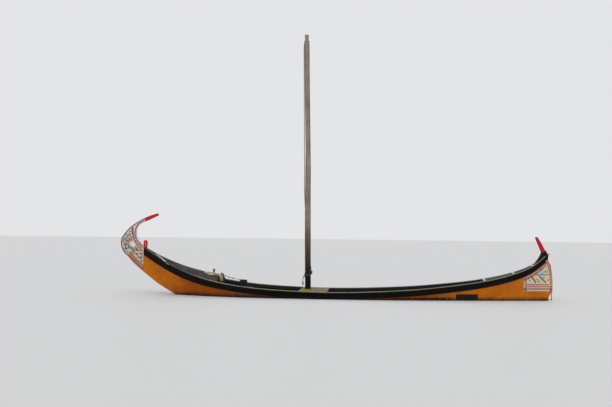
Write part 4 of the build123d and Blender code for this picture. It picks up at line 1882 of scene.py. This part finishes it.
@dataclass
class DeckHank:
    """The pale rope coiled long on the foredeck, with its turns hung over the deck's edge."""

    deck: BVHTree
    diameter: float = 0.026
    pitch: float = 0.0282
    layer_pitch: float = 0.029
    hang_pitch: float = 0.056
    middle_y: float = -0.315
    reach: float = 0.104
    deck_end_x: float = -3.905
    deck_places: tuple[float, ...] = (-4.29, -4.17, -4.06)
    fore_centre: float = -4.32
    bend: Point = (-3.945, 0.887)
    bend_radius: float = 0.087
    bend_angles: tuple[float, ...] = (60.0, 36.0, 12.0)
    hang_level: float = 0.846
    turns_a_layer: float = 1.5
    climb: float = 0.19
    layers: int = 2
    deck_slant: float = 1.056
    arch: float = 0.020
    arch_reach: float = 0.22
    highest_edge: float = 72.0
    lowest_edge: float = 12.0
    half_step: float = 20.0

    def deck_height(self, x: float, y: float) -> float:
        """Find the deck's height under a point, or beside it where a seam opens.

        Args:
            x: Where the point is along the boat.
            y: Where it is across it.

        Returns:
            The height.
        """
        for step in (0.0, 0.006, -0.006, 0.015, -0.015, 0.03, -0.03):
            start = Vector((min(x, self.deck_end_x), y + step, OVERHEAD))
            hit = self.deck.ray_cast(start, Vector((0, 0, -1)))[0]
            if hit is not None:
                return hit.z
        raise ValueError(f"no deck under {x:.3f}, {y:.3f}")

    def on_deck(self, x: float, across: float, layer: float) -> Place:
        """Lay a point on the deck, on the ropes under it.

        Args:
            x: Where it is along the boat.
            across: How far it is from the hank's middle.
            layer: How many ropes lie under it.

        Returns:
            The point.
        """
        y = self.middle_y + across
        arch = self.arch * max(0.0, 1 - (self.bend[0] - x) / self.arch_reach)
        height = self.deck_slant * (self.diameter / 2 + 0.002 + layer * self.layer_pitch)
        return (x, y, self.deck_height(x, y) + height + arch)

    def over_edge(self, angle: float, across: float, layer: float) -> Place:
        """Bend a point round the deck's edge.

        Args:
            angle: How high up the bend it is, in degrees.
            across: How far it is from the hank's middle.
            layer: How many ropes lie under it.

        Returns:
            The point.
        """
        spread = self.layer_pitch + (self.hang_pitch - self.layer_pitch) * (1 - angle / self.highest_edge)
        radius = (self.bend_radius + layer * spread) / math.cos(math.radians(self.lowest_edge))
        turn = math.radians(angle)
        x, z = self.bend
        return (x + radius * math.cos(turn), self.middle_y + across, z + radius * math.sin(turn))

    def hanging(self, angle: float, radius: float, layer: float) -> Place:
        """Place a point of a turn's hanging end.

        Args:
            angle: Where it is on the turn, in degrees from straight down.
            radius: The turn's radius.
            layer: How many ropes lie behind it.

        Returns:
            The point.
        """
        turn = math.radians(angle)
        x = self.bend[0] + self.bend_radius + layer * self.hang_pitch
        level = self.hang_level - 0.022 * layer
        return (x, self.middle_y + radius * math.sin(turn), level - radius * math.cos(turn))

    def route(self) -> list[Place]:
        """Work out the turns, inwards in the lower layer and outwards in the upper one.

        Returns:
            The points that the rope follows.
        """
        ends = tuple(number * self.half_step for number in (-3, -1, 1, 3))
        steps = [("deck", x, -1) for x in self.deck_places]
        steps += [("edge", angle, -1) for angle in self.bend_angles]
        steps += [("hang", angle, 1) for angle in ends]
        steps += [("edge", angle, 1) for angle in self.bend_angles[::-1]]
        steps += [("deck", x, 1) for x in self.deck_places[::-1]]
        steps += [("fore", angle, 1) for angle in ends[::-1]]
        layer_turns = self.turns_a_layer + self.climb
        count = int(len(steps) * (self.layers * layer_turns - self.climb)) + 1
        points = []
        for index in range(count):
            travelled = index / len(steps)
            layer = min(int(travelled / layer_turns), self.layers - 1)
            share = travelled - layer * layer_turns
            inward = min(share, self.turns_a_layer)
            if layer % 2:
                inward = self.turns_a_layer - inward
            height = layer + max(0.0, share - self.turns_a_layer) / self.climb
            kind, value, side = steps[index % len(steps)]
            radius = self.reach - self.pitch * inward
            if kind in ("hang", "fore"):
                radius /= math.cos(math.radians(self.half_step))
            if kind == "deck":
                points.append(self.on_deck(value, side * radius, height))
            elif kind == "edge":
                points.append(self.over_edge(value, side * radius, height))
            elif kind == "hang":
                points.append(self.hanging(value, radius, height))
            else:
                turn = math.radians(value)
                x = self.fore_centre - radius * math.cos(turn)
                points.append(self.on_deck(x, radius * math.sin(turn), height))
        return points

    def build(self) -> Piece:
        """Lay the hank.

        Returns:
            The rope.
        """
        rope = Rope("rope_hank_laid", self.route(), self.diameter, lay_length=0.1, groove=0.28)
        line = rope.line()
        piece = settle(rope.strands(line), "hull", HEMP)
        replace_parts(piece, "rope_hank")
        return piece


@dataclass
class Halyard:
    """The rope from the masthead down behind the mast, round its foot and over a peg."""

    mast: Mast
    diameter: float = 0.023
    turns: float = 2.5
    turns_top: float = 1.085
    turn_drop: float = 0.027
    end: float = 0.9565
    toggle_profile: tuple[Point, ...] = (
        (0.0, 0.0), (0.012, 0.004), (0.021, 0.03), (0.023, 0.07), (0.019, 0.11), (0.0135, 0.135),
        (0.0, 0.14),
    )
    peg_profile: tuple[Point, ...] = (
        (0.0, 0.0), (0.014, 0.0), (0.012, 0.03), (0.011, 0.06), (0.015, 0.068), (0.015, 0.078), (0.0, 0.084)
    )

    def on_mast(self, height: float, out: float, angle: float) -> Place:
        """Return a point beside the mast, by its distance and bearing from the axis."""
        bearing = math.radians(angle)
        return (self.mast.centre(height) + out * math.cos(bearing), out * math.sin(bearing), height)

    def route(self) -> list[Place]:
        """Follow the rope from the masthead to its end.

        Returns:
            The points that it follows.
        """
        down = [(9.16, 0.066, 180), (9.09, 0.092, 180), (8.95, 0.101, 180)]
        down += [(height, 0.1005, 180) for height in (8.4, 7.6, 6.8, 6.0, 5.3, 4.75)]
        down += [(4.35, 0.104, 176), (4.05, 0.112, 165), (3.75, 0.117, 152)]
        down += [(3.3, 0.119, 138), (2.7, 0.119, 122), (2.1, 0.119, 100)]
        down += [(1.65, 0.120, 72), (1.35, 0.121, 45), (1.18, 0.122, 20)]
        points = [self.on_mast(height, out, angle) for height, out, angle in down]
        around = 12
        for index in range(int(self.turns * around)):
            angle = -360 * index / around
            turn = math.radians(angle)
            before = max(0.0, -math.sin(turn))
            sag = 0.045 * before + 0.02 * (1 - math.cos(turn))
            height = self.turns_top - sag - self.turn_drop * index / around
            points.append(self.on_mast(height, 0.1195 + 0.010 * before, angle))
        tail = self.mast.centre(self.end) - 0.1
        points.append((tail - 0.015, -0.012, self.end))
        for out, drop in ((0.050, 0.012), (0.068, 0.075), (0.070, 0.15), (0.070, 0.20)):
            points.append((tail - out, -0.014, self.end - drop))
        return points

    def build(self) -> list[Piece]:
        """Lay the rope, tie its knot, hang its toggle and set the peg.

        Returns:
            The rope and the pieces on it.
        """
        rope = Rope("halyard", self.route(), self.diameter)
        line = rope.line()
        end_x, end_y, end_z = line[-1]
        toggle = turned("halyard_toggle", (end_x, end_y, end_z - 0.125), self.toggle_profile)
        settle(toggle, "mast", BLACK)
        knot = self.knot()
        piece = settle(rope.strands(line), "mast", OLD_ROPE)
        foot = (self.mast.centre(0.93) - 0.088, -0.014, 0.928)
        peg = turned("belaying_peg", foot, self.peg_profile, (-1, 0, 0))
        settle(peg, "mast", BLACK)
        return [piece, toggle, knot, peg]

    def knot(self) -> Piece:
        """Tie the knot beside the mast where the turns begin.

        Returns:
            The knot, a trefoil.
        """
        centre = Vector(self.on_mast(self.turns_top, 0.128, -4))
        points = []
        for index in range(37):
            turn = math.tau * index / 36
            x = math.sin(turn) + 2 * math.sin(2 * turn)
            z = math.cos(turn) - 2 * math.cos(2 * turn)
            points.append(tuple(centre + Vector((0.010 * x, -0.016 * math.sin(3 * turn), 0.019 * z))))
        return Rope("halyard_knot", points, self.diameter, ring_gap=0.008).build("mast", OLD_ROPE)


@dataclass
class GearLine:
    """The thin knotted line from the cleat across to the mooring block."""

    cleat: Piece
    block: Piece
    diameter: float = 0.016
    sag: float = 0.16
    knot_shares: tuple[float, ...] = (0.2, 0.36, 0.55)
    lashing_turns: int = 3
    lashing_diameter: float = 0.021

    def build(self) -> Piece:
        """Stretch the line with its slight sag, and tie its knots and its lashing.

        Returns:
            The line.
        """
        cleat_low, cleat_high = corners(self.cleat)
        block_low, block_high = corners(self.block)
        foot = Vector(((cleat_low.x + cleat_high.x) / 2, (cleat_low.y + cleat_high.y) / 2, cleat_low.z))
        start = Vector((foot.x, foot.y, foot.z + 0.1))
        stop = Vector((block_low.x + 0.05, block_high.y - 0.05, block_high.z - 0.004))
        points = []
        for step in range(9):
            share = step / 8
            place = start.lerp(stop, share)
            place.z -= self.sag * share * (1 - share)
            points.append(tuple(place))
        rope = Rope("gear_line", points, self.diameter, lay_length=0.05, ring_gap=0.008)
        line = rope.line()
        knots = [self.lashing(foot)]
        half = [(0.0, 0.024), (0.013, 0.019), (0.021, 0.007)]
        profile = [(radius, -height) for radius, height in half] + half[::-1]
        for number, share in enumerate(self.knot_shares, 1):
            place = line[int(share * len(line))]
            knot = turned(f"gear_line_knot_{number}", place, profile, tuple(stop - start))
            knots.append(settle(knot, "hull", OLD_ROPE))
        piece = settle(rope.strands(line), "hull", OLD_ROPE)
        return piece

    def lashing(self, foot: Vector) -> Piece:
        """Heap the line's crossed turns on the cleat.

        Args:
            foot: The middle of the cleat's foot.

        Returns:
            The lashing.
        """
        thick, around = self.lashing_diameter, 16
        points = []
        for index in range(around * self.lashing_turns + 1):
            laid = index / around
            turn = math.tau * (laid + 0.25)
            x = (0.091 - 0.009 * laid) * math.sin(turn)
            y = (0.048 - 0.003 * laid) * math.sin(2 * turn)
            rise = 0.026 + 0.7 * thick * laid
            z = 0.02 + thick * laid + rise * math.cos(turn) ** 2
            points.append(tuple(foot + Vector((x, y, z))))
        return Rope("gear_line_lashing", points, thick, ring_gap=0.008).build("hull", OLD_ROPE)


@dataclass
class MossPatch:
    """Bright moss that spreads over the thwart round the mast's foot."""

    bed: BVHTree
    mast: Mast
    centre: Point = (-0.93, 0.22)
    half: Point = (0.34, 0.72)
    steps: tuple[int, int] = (96, 190)
    thick: float = 0.03
    mast_clear: float = 0.098

    def build(self) -> Piece:
        """Grow the patch.

        Returns:
            The moss.
        """
        bpy.ops.object.select_all(action="DESELECT")
        bpy.ops.mesh.primitive_grid_add(
            x_subdivisions=self.steps[0],
            y_subdivisions=self.steps[1],
            size=2,
            location=(*self.centre, 0),
            scale=(*self.half, 1),
        )
        piece = bpy.context.object
        piece.name = "thwart_moss"
        only(piece)
        bpy.ops.object.transform_apply(location=True, rotation=True, scale=True)
        with editing(piece) as mesh:
            bare = [corner for corner in mesh.verts if not self.grow(corner.co)]
            for corner in bare:
                corner.select_set(True)
            bmesh.update_edit_mesh(piece.data)
            bpy.ops.mesh.delete(type="VERT")
            bpy.ops.mesh.select_all(action="DESELECT")
            bpy.ops.mesh.select_mode(type="VERT")
            bpy.ops.mesh.select_loose()
            bpy.ops.mesh.delete(type="VERT")
        modify(piece, "SOLIDIFY", thickness=0.004, offset=-1.0)
        smooth(piece, 60)
        return settle(piece, "hull", MOSS)

    def grow(self, place: Vector) -> bool:
        """Raise a point of the grid to the moss's surface, or tell that none grows there.

        Args:
            place: The point, which is raised.

        Returns:
            False where no moss grows.
        """
        x = (place.x - self.centre[0]) / self.half[0]
        y = (place.y - self.centre[1]) / self.half[1]
        patchy = noise.fractal(Vector((7 * place.x, 7 * place.y, 3.0)), 0.8, 2.0, 4)
        share = 0.60 - (x * x + y * y) + 0.8 * patchy
        hit = self.bed.ray_cast(Vector((place.x, place.y, OVERHEAD)), Vector((0, 0, -1)))[0]
        clear = math.hypot(place.x - self.mast.centre(0.6), place.y) > self.mast_clear
        if share < -0.1 or hit is None or not clear:
            return False
        tufts = 0.75 + 0.45 * noise.fractal(Vector((42 * place.x, 42 * place.y, 0.0)), 0.7, 2.0, 3)
        place.z = hit.z + self.thick * (min(0.75, share) * tufts if share > 0 else 0.6 * share)
        return True


# stage


@dataclass
class Stage:
    """Floor at the waterline, backdrop, lights and camera."""

    reach: float = 400.0
    sky_tone: Colour = tone(228, 229, 231)
    sky_power: float = 0.78
    lamp_spread: float = 70.0
    half_length: float = 7.0
    hole_inset: float = 0.014
    pitch: float = 0.125
    lens: float = 50.0
    eye: Place = (1.3952, -29.5737, 2.39)
    yaw: float = 0.07879781
    tilt: float = math.atan(31.2 / 850)
    roll: float = 0.012

    def waterline(self, shell: BVHTree) -> list[Point]:
        """Follow the hull where the floor meets it.

        Args:
            shell: The hull's planks.

        Returns:
            The starboard half of the outline, bow to stern, inside the planks.
        """
        points: list[Point] = []
        for step in range(int(2 * self.half_length / self.pitch)):
            x = step * self.pitch - self.half_length
            hit = shell.ray_cast(Vector((x, OUTBOARD, WATERLINE)), Vector((0, -1, 0)))[0]
            if hit is None or hit.y < self.hole_inset:
                continue
            if not points:
                x += 0.03
                points.append((x, 0.0))
            points.append((x, hit.y - self.hole_inset))
        return points + [(points[-1][0] + self.pitch, 0.0)]

    def floor(self, shell: BVHTree) -> None:
        """Make the floor, open inside the hull.

        Args:
            shell: The hull's planks.
        """
        bpy.ops.mesh.primitive_circle_add(vertices=96, radius=self.reach, location=(0, 0, WATERLINE))
        floor = bpy.context.object
        floor.name = "floor"
        half = self.waterline(shell)
        ring = half + [(x, -y) for x, y in reversed(half[1:-1])]
        with editing(floor) as mesh:
            rim = [mesh.verts.new((x, y, 0)) for x, y in ring]
            for first, second in zip(rim, rim[1:] + rim[:1]):
                mesh.edges.new((first, second))
            bmesh.update_edit_mesh(floor.data)
            bpy.ops.mesh.select_all(action="SELECT")
            bpy.ops.mesh.fill(use_beauty=True)
            bpy.ops.mesh.normals_make_consistent(inside=False)
        floor.data.materials.append(FLOOR_GREY.build())

    def lights(self) -> None:
        """Set a soft even sky and two broad lamps."""
        world = bpy.data.worlds.new("soft_sky")
        bpy.context.scene.world = world
        world.use_nodes = True
        world.node_tree.nodes.clear()
        graph = Graph(world.node_tree)
        rays = graph.node("LightPath").outputs
        seen = graph.math("MAXIMUM", rays["Is Camera Ray"], rays["Is Glossy Ray"])
        seen = graph.math("MAXIMUM", seen, rays["Is Transmission Ray"])
        glow, back = graph.node("Background"), graph.node("Background")
        graph.feed(glow.inputs["Strength"], self.sky_power)
        graph.feed(glow.inputs["Color"], (1.0, 1.0, 1.0))
        graph.feed(back.inputs["Color"], self.sky_tone)
        blend = graph.node("MixShader")
        for socket, value in zip(blend.inputs, (seen, glow.outputs[0], back.outputs[0])):
            graph.feed(socket, value)
        graph.feed(graph.node("OutputWorld").inputs["Surface"], blend.outputs[0])
        for name, power, turn in (("key", 0.75, (0.62, 0.15, -0.35)), ("fill", 0.3, (0.9, -0.3, 0.7))):
            lamp = bpy.data.lights.new(name, "SUN")
            lamp.energy = power
            lamp.angle = math.radians(self.lamp_spread)
            linked(name, lamp).rotation_euler = turn

    def camera(self) -> None:
        """Place the camera as the photographer stood."""
        camera = bpy.data.cameras.new("camera")
        camera.lens = self.lens
        camera.sensor_width = 36.0
        camera.clip_end = 2000.0
        holder = linked("camera", camera)
        level = Vector((-math.sin(self.yaw), math.cos(self.yaw), 0.0))
        ahead = level * math.cos(self.tilt) + Vector((0, 0, math.sin(self.tilt)))
        turn = ahead.to_track_quat("-Z", "Y").to_matrix().to_4x4() @ Matrix.Rotation(self.roll, 4, "Z")
        holder.matrix_world = Matrix.Translation(self.eye) @ turn
        bpy.context.scene.camera = holder
        bpy.context.scene.view_settings.view_transform = "Standard"

    def build(self, shell: BVHTree) -> None:
        """Make the floor and the lights.

        Args:
            shell: The hull's planks.
        """
        self.floor(shell)
        self.lights()
        LOG.info("stage ready")


def corners(piece: Piece) -> tuple[Vector, Vector]:
    """Measure a finished piece.

    Args:
        piece: The piece.

    Returns:
        Its lowest and its highest corner.
    """
    places = [vertex.co for vertex in piece.data.vertices]
    low = Vector(min(place[axis] for place in places) for axis in range(3))
    high = Vector(max(place[axis] for place in places) for axis in range(3))
    return low, high


def hull_shell(pieces: Sequence[Piece]) -> BVHTree:
    """Gather pieces into one surface for laying other pieces on.

    Args:
        pieces: The pieces whose surface is wanted.

    Returns:
        Their surface.
    """
    points: list[Vector] = []
    faces: list[tuple[int, ...]] = []
    for piece in pieces:
        start = len(points)
        points += [vertex.co.copy() for vertex in piece.data.vertices]
        faces += [tuple(start + index for index in polygon.vertices) for polygon in piece.data.polygons]
    return BVHTree.FromPolygons(points, faces)


def main() -> None:
    """Build the boat's dressing and the stage, in order."""
    logging.basicConfig(level=logging.INFO, format="%(message)s")
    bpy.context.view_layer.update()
    stage = Stage()
    stage.camera()
    planks = Planking().build()
    NodeFinishes().build()
    ends = EndTimbers().build()
    strakes = [piece for piece in planks if "strake" in piece.name]
    shell = hull_shell(strakes + [ends["stern_post"]])
    BowPanel(hull_shell([ends["stem_blade"]])).build()
    SternPanel(shell).build()
    SideMarks(shell, hull_shell([piece for piece in planks if "strake" not in piece.name])).build()
    mast = Mast()
    mast.build()
    Halyard(mast).build()
    DeckHank(hull_shell([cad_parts["fore_deck_planks"]])).build()
    GearLine(ends["deck_cleat"], ends["mooring_block"]).build()
    MossPatch(hull_shell([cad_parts["mast_thwart"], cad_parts["mast_partner"]]), mast).build()
    stage.build(shell)


if __name__ == "__main__":
    main()
